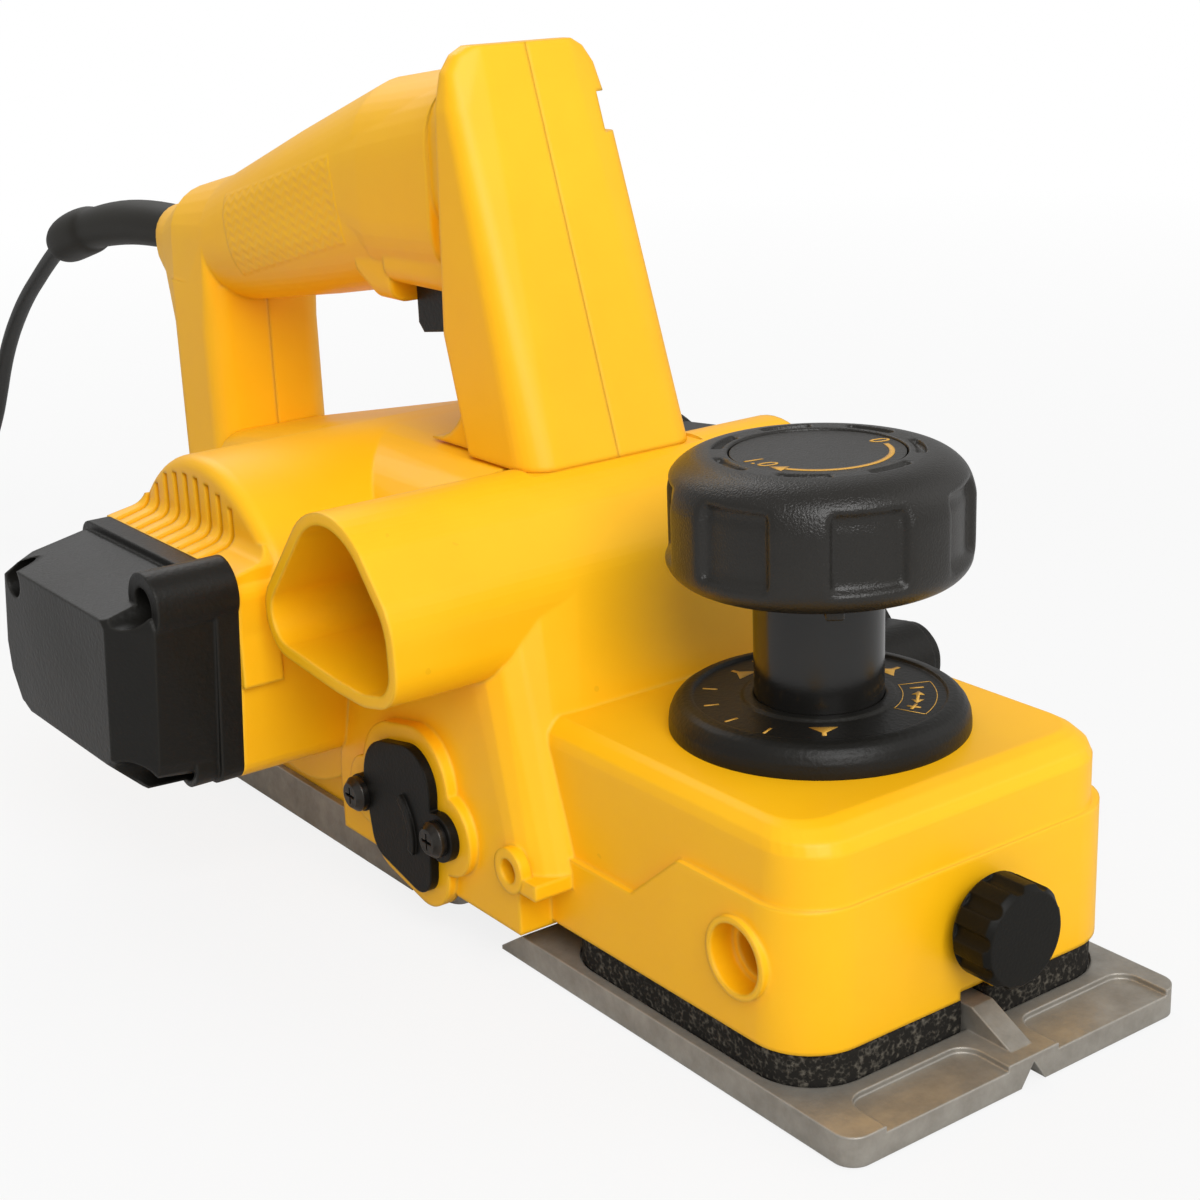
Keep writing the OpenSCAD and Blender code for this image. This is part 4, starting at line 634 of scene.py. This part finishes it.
def coil_turns():
    """The coil's points: each layer winds in or out, and the cord climbs a layer in one turn."""
    wide = COIL_ACROSS - 1
    layer_turns = COIL_ACROSS
    total = COIL_LAYERS * layer_turns - COIL_SHORT
    points = []
    for i in range(int(total * COIL_STEPS)):
        turn = i / COIL_STEPS
        layer, along = divmod(turn, layer_turns)
        out = min(along, wide)
        climb = max(along - wide, 0)
        radius = COIL_INNER + COIL_PITCH * (out if layer % 2 else wide - out)
        height = COIL_LOWEST + COIL_PITCH * (layer + math.sqrt(climb * (2 - climb)))
        angle = math.radians(COIL_START) + 2 * math.pi * turn
        x = COIL_CENTRE[0] + radius * math.cos(angle)
        y = COIL_CENTRE[1] + radius * math.sin(angle)
        points.append((x, y, height))
    return points


def plain_curve(name, points, radius, material, body, slot):
    """A round line through points, as one curve."""
    data = bpy.data.curves.new(name, "CURVE")
    data.dimensions = "3D"
    data.bevel_depth = radius
    data.bevel_resolution = data.resolution_u = 4
    data.use_fill_caps = True
    line = data.splines.new("BEZIER")
    line.bezier_points.add(len(points) - 1)
    for knot, place in zip(line.bezier_points, points):
        knot.co = place
        knot.handle_left_type = knot.handle_right_type = "AUTO"
    data.materials.append(material)
    piece = bpy.data.objects.new(name, data)
    bpy.context.scene.collection.objects.link(piece)
    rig.ride(piece, body)
    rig.slot(piece, slot)
    return piece


def tie_strap():
    """A strap once round the coil's section."""
    across, high, corner, broad, thick = 0.0222, 0.0212, 0.0035, 0.008, 0.0009
    turns_middle = Vector((0.0275, broad / 2, 0.0112))
    bm = bmesh.new()
    bmesh.ops.create_grid(bm, x_segments=1, y_segments=1, size=0.5)
    bmesh.ops.delete(bm, geom=list(bm.faces), context="FACES_ONLY")
    bmesh.ops.scale(bm, vec=(across, high, 1), verts=bm.verts)
    bmesh.ops.bevel(bm, geom=list(bm.verts), offset=corner, segments=5, profile=0.5, affect="VERTICES",
                    material=-1)
    bmesh.ops.rotate(bm, matrix=Matrix.Rotation(math.pi / 2, 3, "X"), verts=bm.verts)
    bmesh.ops.translate(bm, vec=turns_middle, verts=bm.verts)
    drawn = bmesh.ops.extrude_edge_only(bm, edges=list(bm.edges))["geom"]
    bmesh.ops.translate(bm, vec=(0, -broad, 0), verts=verts_of(drawn))
    centre = Matrix.Translation((COIL_CENTRE[0] * MM, COIL_CENTRE[1] * MM, 0))
    bmesh.ops.transform(bm, matrix=centre @ Matrix.Rotation(math.radians(STRAP_AT), 4, "Z"), verts=bm.verts)
    bmesh.ops.recalc_face_normals(bm, faces=bm.faces)
    bmesh.ops.solidify(bm, geom=list(bm.faces), thickness=thick)
    piece = new_piece("cord_strap", bm, cord_rubber, "housing", "cord_rubber")
    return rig.replaces(piece, "cord_tie")


PLUG_X, PLUG_Z = -71, 13


def plug_moulding():
    """A round-nosed plug body with a ribbed neck that the cord goes into."""
    ribs = [366 - 2.4 * i for i in range(7)]
    stations = ribs + [349, 346, 341, 336.5, 334.6, 334.1]
    radii = [3.2, 4.4, 4.0, 5.0, 4.6, 5.6, 5.4, 8.5, 11.5, 13.2, 13.4, 12.8, 11.4]
    bm = bmesh.new()
    sweep(bm, [(PLUG_X * MM, y * MM, PLUG_Z * MM) for y in stations], [r * MM for r in radii], 32)
    # Past the neck the body grows wider and flatter
    neck_end, blend, wider, flatter = 0.352, 0.012, 0.27, 0.18
    for v in bm.verts:
        share = min(max((neck_end - v.co.y) / blend, 0), 1)
        v.co.x += (v.co.x - PLUG_X * MM) * wider * share
        v.co.z -= (v.co.z - PLUG_Z * MM) * flatter * share
    piece = subdivided(new_piece("plug_moulding", bm, cord_rubber, "housing", "cord_rubber"), 1)
    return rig.replaces(piece, "plug_body")


def make_cord():
    """The mains cord from the boot's collar to the plug, as one curve."""
    points = [tuple(c * MM for c in p) for p in ROUTE + coil_turns() + LEAD_OUT]
    cord = plain_curve("mains_cord", points, CORD_D / 2, cord_rubber, "housing", "cord_rubber")
    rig.replaces(cord, "cord_tube", "cord_coil")
    whole_length = sum((Vector(a) - Vector(b)).length for a, b in zip(points, points[1:]))
    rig.cord(cord, exit=points[0], length=round(whole_length, 2), diameter=CORD_D, far_end="plug",
            stiffness="medium", lay="coiled", with_pieces=[tie_strap(), plug_moulding(), nodes["plug_pins"]])


def strain_relief():
    """The bend relief: a smooth tapered sleeve with a thicker collar where the cord comes out."""
    # Each station's y, z and radius
    stations = [(147, 119.8, 5.9), (158, 120, 6.0), (170, 120, 6.2), (182, 119.7, 6.3), (194, 118.9, 6.3),
                (206, 117.4, 6.2), (216, 115.7, 6.0), (221.5, 114.6, 5.9), (222.5, 114.4, 6.4),
                (224.5, 113.9, 7), (230, 112.7, 7.2), (236, 111.1, 7.2), (241.5, 109.4, 7),
                (245.4, 108.1, 6.2), (247.3, 107.4, 4.9), (248, 107.1, 3.4)]
    bm = bmesh.new()
    sweep(bm, [(0, y * MM, z * MM) for y, z, _ in stations], [r * MM for _, _, r in stations], 28)
    piece = subdivided(new_piece("bend_relief", bm, boot_rubber, "housing", "cord_rubber"), 1)
    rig.replaces(piece, "cord_boot")


# ---------- depth knob ----------
CAP_HIGH = Vector(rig.box("knob_cap")[1])
DIAL_LOW, DIAL_HIGH = (Vector(corner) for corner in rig.box("knob_dial"))
KNOB_AXIS = Vector(((DIAL_LOW.x + DIAL_HIGH.x) / 2, (DIAL_LOW.y + DIAL_HIGH.y) / 2, 0))
KNOB_R, CAP_DEEP = 0.028, 0.023
CAP_BOTTOM = CAP_HIGH.z - CAP_DEEP
# The bore round the post, and the dial's recess in the top
BORE_R, RECESS_DEEP = 0.0042, 0.0015
POCKETS, POCKET_COLUMNS, COLUMNS = 7, 7.2, 84
# Where the first pocket is round the knob, and the stop lug, in degrees
FIRST_POCKET, LUG_AT = 246.9, 235


def angle_of(place):
    """Where a place is round the knob's axis."""
    return math.atan2(place.y - KNOB_AXIS.y, place.x - KNOB_AXIS.x)


def round_knob(angle, radius, height):
    """The place at an angle, a radius and a height round the knob's axis."""
    return KNOB_AXIS + Vector((radius * math.cos(angle), radius * math.sin(angle), height))


def rounding(radius, height, wide, high, angles):
    """Points of a rounded edge, wide and high from its middle at a radius and a height."""
    return [(radius + wide * math.cos(math.radians(a)), height + high * math.sin(math.radians(a)))
            for a in angles]


def pocket_angle(place, shift=0.0):
    """Degrees from a place round the knob to the middle of the nearest pocket."""
    angle = math.degrees(angle_of(place)) - FIRST_POCKET - shift
    step = 360 / POCKETS
    return abs((angle + step / 2) % step - step / 2)


def knob_cap():
    """The knob's cap: finger pockets sunk in its side and a slot over each land."""
    under = [(BORE_R, 0.0022), (0.0125, 0.0022), (0.0130, 0.002), (0.0132, 0.0003), (0.0136, 0.0)]
    foot = rounding(KNOB_R - 0.0046, 0.005, 0.0046, 0.005, (-90, -60, -30))
    side = [(KNOB_R, z) for z in (0.0045, 0.0075, 0.011, 0.0145)]
    dome = rounding(KNOB_R - 0.0086, 0.0154, 0.0086, 0.0076, (0, 25, 42, 58, 74, 90))
    slot_out, slot_in, floor = 0.0192, 0.0173, CAP_DEEP - RECESS_DEEP
    top = [(slot_out, CAP_DEEP), (slot_in, CAP_DEEP), (0.0163, CAP_DEEP), (0.0160, CAP_DEEP - 0.0002),
           (0.0159, CAP_DEEP - 0.0013), (0.0158, floor), (BORE_R, floor)]
    bm = bmesh.new()
    column = 2 * math.pi / COLUMNS
    lathe(bm, under + foot + side + dome + top, COLUMNS, (KNOB_AXIS.x, KNOB_AXIS.y, CAP_BOTTOM),
          math.radians(FIRST_POCKET) + column / 2)
    bm.normal_update()
    bmesh.ops.recalc_face_normals(bm, faces=bm.faces)
    half = POCKET_COLUMNS / 2 * 360 / COLUMNS
    pocket_low, pocket_high, pocket_in = 0.0046, 0.0185, 0.024

    def sunk(chosen, rim, depth):
        """Presses faces in as one hollow, inside a narrow rim."""
        bmesh.ops.inset_region(bm, faces=chosen, thickness=rim, depth=-depth, use_even_offset=True,
                               use_boundary=True)

    pockets, slots = [], []
    for face in bm.faces:
        middle = face.calc_center_median()
        out = (middle - KNOB_AXIS).to_2d().length
        z = middle.z - CAP_BOTTOM
        if pocket_low < z < pocket_high and out > pocket_in and pocket_angle(middle) < half:
            pockets.append(face)
        elif z > CAP_DEEP - 1e-4 and slot_in < out < slot_out and pocket_angle(middle, 180 / POCKETS) < half:
            slots.append(face)
    sunk(pockets, 0.0006, 0.0018)
    sunk(slots, 0.0003, 0.0011)
    piece = subdivided(new_piece("knob_cap_moulding", bm, knob_black, "knob", "black_plastic"), 2)
    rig.replaces(piece, "knob_cap")


def stop_lug():
    """The small block under the knob that stops its turn."""
    long, wide, out, up = 0.0034, 0.0032, 0.0217, 0.0003
    lug = bmesh.new()
    bmesh.ops.create_cube(lug, size=1)
    bmesh.ops.scale(lug, vec=(long, wide, long), verts=lug.verts)
    bmesh.ops.bevel(lug, geom=list(lug.edges), offset=0.0004, segments=2, profile=0.5, affect="EDGES",
                    material=-1)
    axis = Matrix.Translation((KNOB_AXIS.x, KNOB_AXIS.y, CAP_BOTTOM + up))
    turned = Matrix.Rotation(math.radians(LUG_AT), 4, "Z")
    bmesh.ops.transform(lug, matrix=axis @ turned @ Matrix.Translation((out, 0, 0)), verts=lug.verts)
    new_piece("stop_lug", lug, knob_black, "knob", "black_plastic")


# ---------- printed marks ----------
# The ink's thickness and the figures' size
INK, FIGURE_SIZE = 0.00006, 0.0052


def printed(name, bm, body):
    """A mark in gold ink on the moulding under it."""
    new_piece(name, bm, gold_ink, body, "yellow_plastic")


def bar(long, wide):
    """The corners of a bar from half its length and width."""
    return [(-long, -wide), (long, -wide), (long, wide), (-long, wide)]


def flat_mark(name, corners, place, body, height=INK):
    """A thin mark from its corners, at a place on a flat top, with its X axis away from the knob's."""
    bm = bmesh.new()
    face = bm.faces.new([bm.verts.new((x, y, 0)) for x, y in corners])
    drawn = bmesh.ops.extrude_face_region(bm, geom=[face])["geom"]
    bmesh.ops.translate(bm, vec=(0, 0, height), verts=verts_of(drawn))
    outwards = Matrix.Rotation(angle_of(place), 4, "Z")
    bmesh.ops.transform(bm, matrix=Matrix.Translation(place) @ outwards, verts=bm.verts)
    printed(name, bm, body)


def band(name, height, inner, outer, start, angle, body):
    """A flat arc between two radii round the knob's axis."""
    bm = bmesh.new()
    section = [(inner, 0), (outer, 0), (outer, INK), (inner, INK), (inner, 0)]
    lathe(bm, section, 40, (KNOB_AXIS.x, KNOB_AXIS.y, height), start, angle)
    bmesh.ops.holes_fill(bm, edges=[e for e in bm.edges if e.is_boundary])
    printed(name, bm, body)


def numeral(name, text, point, tree, along):
    """Plain figures on the dial, centred on their image point."""
    place = placed(point, tree)
    data = bpy.data.curves.new(name, "FONT")
    data.body = text
    data.size, data.extrude, data.shear = FIGURE_SIZE, INK / 2, 0.25
    data.align_x = data.align_y = "CENTER"
    maker = bpy.data.objects.new(name + "_text", data)
    bpy.context.scene.collection.objects.link(maker)
    bpy.context.view_layer.update()
    bm = bmesh.new()
    mesh = bpy.data.meshes.new_from_object(maker)
    bm.from_mesh(mesh)
    bpy.data.objects.remove(maker)
    bmesh.ops.remove_doubles(bm, verts=bm.verts, dist=WELD)
    bmesh.ops.transform(bm, matrix=Matrix.Translation((place.x, place.y, DIAL_HIGH.z + INK / 2))
                        @ Matrix.Rotation(along, 4, "Z"), verts=bm.verts)
    printed(name, bm, "knob")


def dial_marks():
    """The depth figures 0 and 1.0 and the arrow between them."""
    tree = carrier_tree("knob_dial")
    start = placed(POINTS["dial_one"], tree)
    end = placed(POINTS["dial_one_end"], tree)
    along = math.atan2(end.y - start.y, end.x - start.x)
    numeral("figure_one", "1.0", POINTS["dial_one"], tree, along)
    numeral("figure_zero", "0", POINTS["dial_zero"], tree, along)
    top = DIAL_HIGH.z
    tail = angle_of(placed(POINTS["arc_start"], tree))
    tip = angle_of(placed(POINTS["arc_tip"], tree))
    turn = -((tail - tip) % (2 * math.pi))
    # The arc ends under the arrow's head, which stands a little before the tip
    inner, outer, arc_short, head_short = 0.0126, 0.0136, 0.16, 0.12
    band("depth_arc", top, inner, outer, tail, turn + arc_short, "knob")
    head = [(-0.0016, 0.0006), (0.0016, 0.0006), (0, -0.0026)]
    flat_mark("depth_arrow", head, round_knob(tip + head_short, (inner + outer) / 2, top), "knob")


def ring_marks():
    """Ticks, three pointers and the plus and minus arrow on the scale ring's flat."""
    tree = carrier_tree("scale_ring")
    first = placed(POINTS["tick_first"], tree)
    last = placed(POINTS["tick_last"], tree)
    top = last.z
    span = (angle_of(last) - angle_of(first)) % (2 * math.pi)
    if span > math.pi:
        span -= 2 * math.pi
    # How far each kind of mark stands from the knob's axis
    tick_out, mark_out, arrow_out, box_out = 0.0204, 0.0182, 0.0180, 0.0183
    # The left pointer stands beside the second tick's place, which has none
    for i in (0, 2, 3, 4, 5):
        spot = round_knob(angle_of(first) + span * i / 5, tick_out, top)
        flat_mark(f"tick_{i}", bar(0.0014, 0.00025), spot, "housing")
    pointer = [(-0.0016, -0.0026), (-0.0016, 0.0026), (0.0009, 0.0004), (0.0024, 0.0004),
               (0.0024, -0.0004), (0.0009, -0.0004)]
    for name in ("mark_left", "mark_middle", "mark_right"):
        spot = round_knob(angle_of(placed(POINTS[name], tree)), mark_out, top)
        flat_mark(name, pointer, spot, "housing")
    middle = angle_of(placed(POINTS["turn_arrow"], tree))
    arrow = [(-0.0003, -0.0012), (-0.0012, -0.0012), (0, -0.0030), (0.0012, -0.0012), (0.0003, -0.0012),
             (0.0003, 0.0012), (0.0012, 0.0012), (0, 0.0030), (-0.0012, 0.0012), (-0.0003, 0.0012)]
    flat_mark("turn_arrow", arrow, round_knob(middle, arrow_out, top), "housing")
    # The signs' bars, and in radians how far the signs and the box's ends stand from the arrow
    long, wide = 0.0013, 0.00028
    sign_turn, half_box, line = 0.27, 0.4, 0.00016
    plus, minus = (round_knob(middle + turn, mark_out, top) for turn in (-sign_turn, sign_turn))
    flat_mark("plus_0", bar(long, wide), plus, "housing")
    flat_mark("plus_1", bar(wide, long), plus, "housing", INK * 2)
    flat_mark("minus_0", bar(long, wide), minus, "housing")
    for i, radius in enumerate((0.0152, 0.0214)):
        band(f"box_arc_{i}", top, radius, radius + line, middle - half_box, half_box * 2, "housing")
    for i, turn in enumerate((-half_box, half_box)):
        flat_mark(f"box_end_{i}", bar(0.0031, 0.00009), round_knob(middle + turn, box_out, top), "housing")


# ---------- foam seal ----------
# The foam's cell size, and the scales and depths of its fine and coarse roughness
CELL, FINE, FINE_DEPTH, COARSE, COARSE_DEPTH = 0.0008, 900, 0.00016, 420, 0.00012
# How far the shoe and the trigger move
SHOE_TRAVEL, TRIGGER_TRAVEL = 0.001, 0.0045


def foam_seal():
    """The seal between nose and shoe: open-celled foam that flattens as the shoe rises."""
    low, high = (Vector(corner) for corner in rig.box("foam_gasket"))
    bm = bmesh.new()
    bm.from_mesh(nodes["foam_gasket"].data)
    bmesh.ops.remove_doubles(bm, verts=bm.verts, dist=1e-5)
    piece = new_piece("foam_seal", bm, foam, "housing", "foam")
    cut = piece.modifiers.new("cells", "REMESH")
    cut.mode = "VOXEL"
    cut.voxel_size = CELL
    bpy.context.view_layer.update()
    mesh = bpy.data.meshes.new_from_object(piece.evaluated_get(bpy.context.evaluated_depsgraph_get()))
    piece.modifiers.clear()
    piece.data = mesh
    # The cells fade out at the seal's top and bottom, which stay a hair inside the strip's own box
    hair = 0.00002
    for v in mesh.vertices:
        inward = min((v.co.z - low.z) / CELL, (high.z - v.co.z) / CELL, 1)
        fine = FINE_DEPTH * abs(mathutils_noise.noise(v.co * FINE))
        coarse = COARSE_DEPTH * abs(mathutils_noise.noise(v.co * COARSE))
        v.co -= v.normal * (fine + coarse) * max(inward, 0)
        v.co.z = min(max(v.co.z, low.z + hair), high.z - hair)
    mesh.materials.clear()
    mesh.materials.append(foam)
    for face in mesh.polygons:
        face.use_smooth = True
    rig.replaces(piece, "foam_gasket")
    thick = high.z - low.z
    left = (thick - SHOE_TRAVEL) / thick
    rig.squash(piece, "front_shoe_slide", axis=(0, 0, 1), anchor=(0, 0, high.z), keep=left)
    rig.padded(piece, fill=0.9)


# ---------- springs that shorten with a joint ----------
def shortening_spring(node, name, joint, travel):
    """A spring's own coils, held at the top and pressed up from below by the joint's travel."""
    low, high = (Vector(corner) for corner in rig.box(node))
    bm = bmesh.new()
    bm.from_mesh(nodes[node].data)
    bmesh.ops.remove_doubles(bm, verts=bm.verts, dist=WELD)
    piece = new_piece(name, bm, bright_steel, "housing", "spring_steel")
    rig.replaces(piece, node)
    length = high.z - low.z
    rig.squash(piece, joint, axis=(0, 0, 1), anchor=(0, 0, high.z), keep=(length - travel) / length)


make_cord()
strain_relief()
shortening_spring("shoe_springs", "shoe_spring_coils", "front_shoe_slide", SHOE_TRAVEL)
shortening_spring("trigger_spring", "trigger_spring_coil", "trigger_pull", TRIGGER_TRAVEL)
knob_cap()
stop_lug()
dial_marks()
ring_marks()
foam_seal()


# ---------- floor and light ----------
WORLD_LIGHT = 0.5
FLOOR_HALF, FLOOR_GAP, FLOOR_GREY = 30, 0.0004, 0.6
# How much of the floor's look is plain white, near the tool and far from it, and these distances
WHITE_NEAR, WHITE_FAR, NEAR, FAR = 0.84, 1.0, 0.3, 1.1


def pale_floor():
    """A floor that the camera sees as nearly white, with a share of its own shadows near the tool."""
    sheet = bmesh.new()
    bmesh.ops.create_grid(sheet, x_segments=1, y_segments=1, size=FLOOR_HALF)
    mesh = bpy.data.meshes.new("floor")
    sheet.to_mesh(mesh)
    sheet.free()
    floor = bpy.data.objects.new("floor", mesh)
    bpy.context.scene.collection.objects.link(floor)
    floor.location = (0, 0, -FLOOR_GAP)
    material, tree, shader = new_material("pale_floor")
    shader.inputs["Base Color"].default_value = (FLOOR_GREY, FLOOR_GREY, FLOOR_GREY, 1)
    shader.inputs["Roughness"].default_value = 0.9
    glow = put(tree, "ShaderNodeEmission")
    seen = put(tree, "ShaderNodeLightPath")
    away = put(tree, "ShaderNodeVectorMath", operation="LENGTH")
    tree.links.new(here(tree), away.inputs[0])
    share = put(tree, "ShaderNodeMapRange", From_Min=NEAR, From_Max=FAR, To_Min=WHITE_NEAR, To_Max=WHITE_FAR)
    tree.links.new(away.outputs["Value"], share.inputs["Value"])
    mixed = put(tree, "ShaderNodeMixShader")
    tree.links.new(maths(tree, "MULTIPLY", share.outputs[0], seen.outputs["Is Camera Ray"]), mixed.inputs[0])
    tree.links.new(shader.outputs[0], mixed.inputs[1])
    tree.links.new(glow.outputs[0], mixed.inputs[2])
    tree.links.new(mixed.outputs[0], tree.nodes["Material Output"].inputs[0])
    mesh.materials.append(material)
    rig.stage(floor)


def studio_world():
    """White all round for the camera, and dimmer white as light."""
    world = bpy.data.worlds.new("studio")
    bpy.context.scene.world = world
    world.use_nodes = True
    w = world.node_tree
    path = w.nodes.new("ShaderNodeLightPath")
    shown = maths(w, "MAXIMUM", path.outputs["Is Camera Ray"], path.outputs["Is Transmission Ray"])
    power = w.nodes.new("ShaderNodeMapRange")
    power.inputs["To Min"].default_value = WORLD_LIGHT
    w.links.new(shown, power.inputs["Value"])
    w.nodes["Background"].inputs[0].default_value = (1, 1, 1, 1)
    w.links.new(power.outputs[0], w.nodes["Background"].inputs[1])


def lamp(name, place, target, size, power):
    """A square lamp at a place that points at a target."""
    data = bpy.data.lights.new(name, "AREA")
    data.size = size
    data.energy = power
    lamp_object = bpy.data.objects.new(name, data)
    bpy.context.scene.collection.objects.link(lamp_object)
    lamp_object.location = place
    lamp_object.rotation_mode = "QUATERNION"
    lamp_object.rotation_quaternion = (Vector(target) - Vector(place)).to_track_quat("-Z", "Y")
    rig.stage(lamp_object)


bpy.context.scene.view_settings.view_transform = "Standard"
pale_floor()
studio_world()
lamp("key", (-0.5, -1.3, 1.15), (0, 0, 0.05), 1.1, 25)
lamp("fill", (1.2, -0.9, 0.9), (0, 0, 0.05), 1.4, 4)
lamp("back", (0.2, 1.4, 1.4), (0, 0, 0.08), 1.2, 10)


# ---------- image points against the finished pieces ----------
def finished_places(*names):
    """The finished vertices of pieces, those named or all but the cord's."""
    graph = bpy.context.evaluated_depsgraph_get()
    for piece in bpy.context.scene.objects:
        on_tool = "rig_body" in piece and not piece.name.startswith(("mains", "plug", "cord"))
        wanted = piece.name in names if names else on_tool
        if piece.type == "MESH" and wanted and not piece.hide_render and piece.name != "floor":
            mesh = piece.evaluated_get(graph).to_mesh()
            yield from (v.co.copy() for v in mesh.vertices)


def compare_points():
    """How far each thing shows from its image point, in x and y."""
    bpy.context.view_layer.update()
    piece_of = {
        "knob": "knob_cap_moulding", "ring": "scale_ring", "clamp_knob": "clamp_knob",
        "dial_zero": "figure_zero", "dial_one": "figure_one", "tick_first": "tick_0", "tick_last": "tick_5",
        "mark_left": "mark_left", "mark_middle": "mark_middle", "mark_right": "mark_right",
        "turn_arrow": "turn_arrow",
    }
    spots = {name: [to_image(p) for p in finished_places(piece)] for name, piece in piece_of.items()}
    spots["object"] = [to_image(p) for p in finished_places()]
    mouth_x, mouth_rear, near = -0.066, -0.0015, 0.0003
    spots["outlet_mouth"] = [to_image(p) for p in finished_places("main_housing")
                             if abs(p.x - mouth_x) < near and p.y < mouth_rear]
    heads = list(finished_places("bearing_plate_screws"))
    head_face = min(p.x for p in heads) + 0.001
    between = sum(p.y for p in heads) / len(heads)
    spots["upper_plate_screw"] = [to_image(p) for p in heads if p.x < head_face and p.y > between]
    spots["lower_plate_screw"] = [to_image(p) for p in heads if p.x < head_face and p.y < between]
    found = {}
    for name, (x, y) in POINTS.items():
        thing, _, edge = name.rpartition("_")
        if edge in ("left", "right", "top", "bottom") and thing in ("object", "knob", "ring", "outlet_mouth"):
            pick = max if edge in ("right", "bottom") else min
            shown = (pick(q[0] for q in spots[thing]), pick(q[1] for q in spots[thing]))
        elif name in spots:
            xs, ys = zip(*spots[name])
            shown = ((min(xs) + max(xs)) / 2, (min(ys) + max(ys)) / 2)
        else:
            continue
        found[name] = {"shown": [round(c, 1) for c in shown], "off": [
            None if want is None else round(got - want, 1) for got, want in zip(shown, (x, y))]}
    with open("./points.json", "w") as f:
        json.dump(found, f, indent=1)


compare_points()
with open("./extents.json", "w") as f:
    json.dump({"cad": [list(cad_low), list(cad_high)], "visual": [list(v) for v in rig.bounds()]}, f)
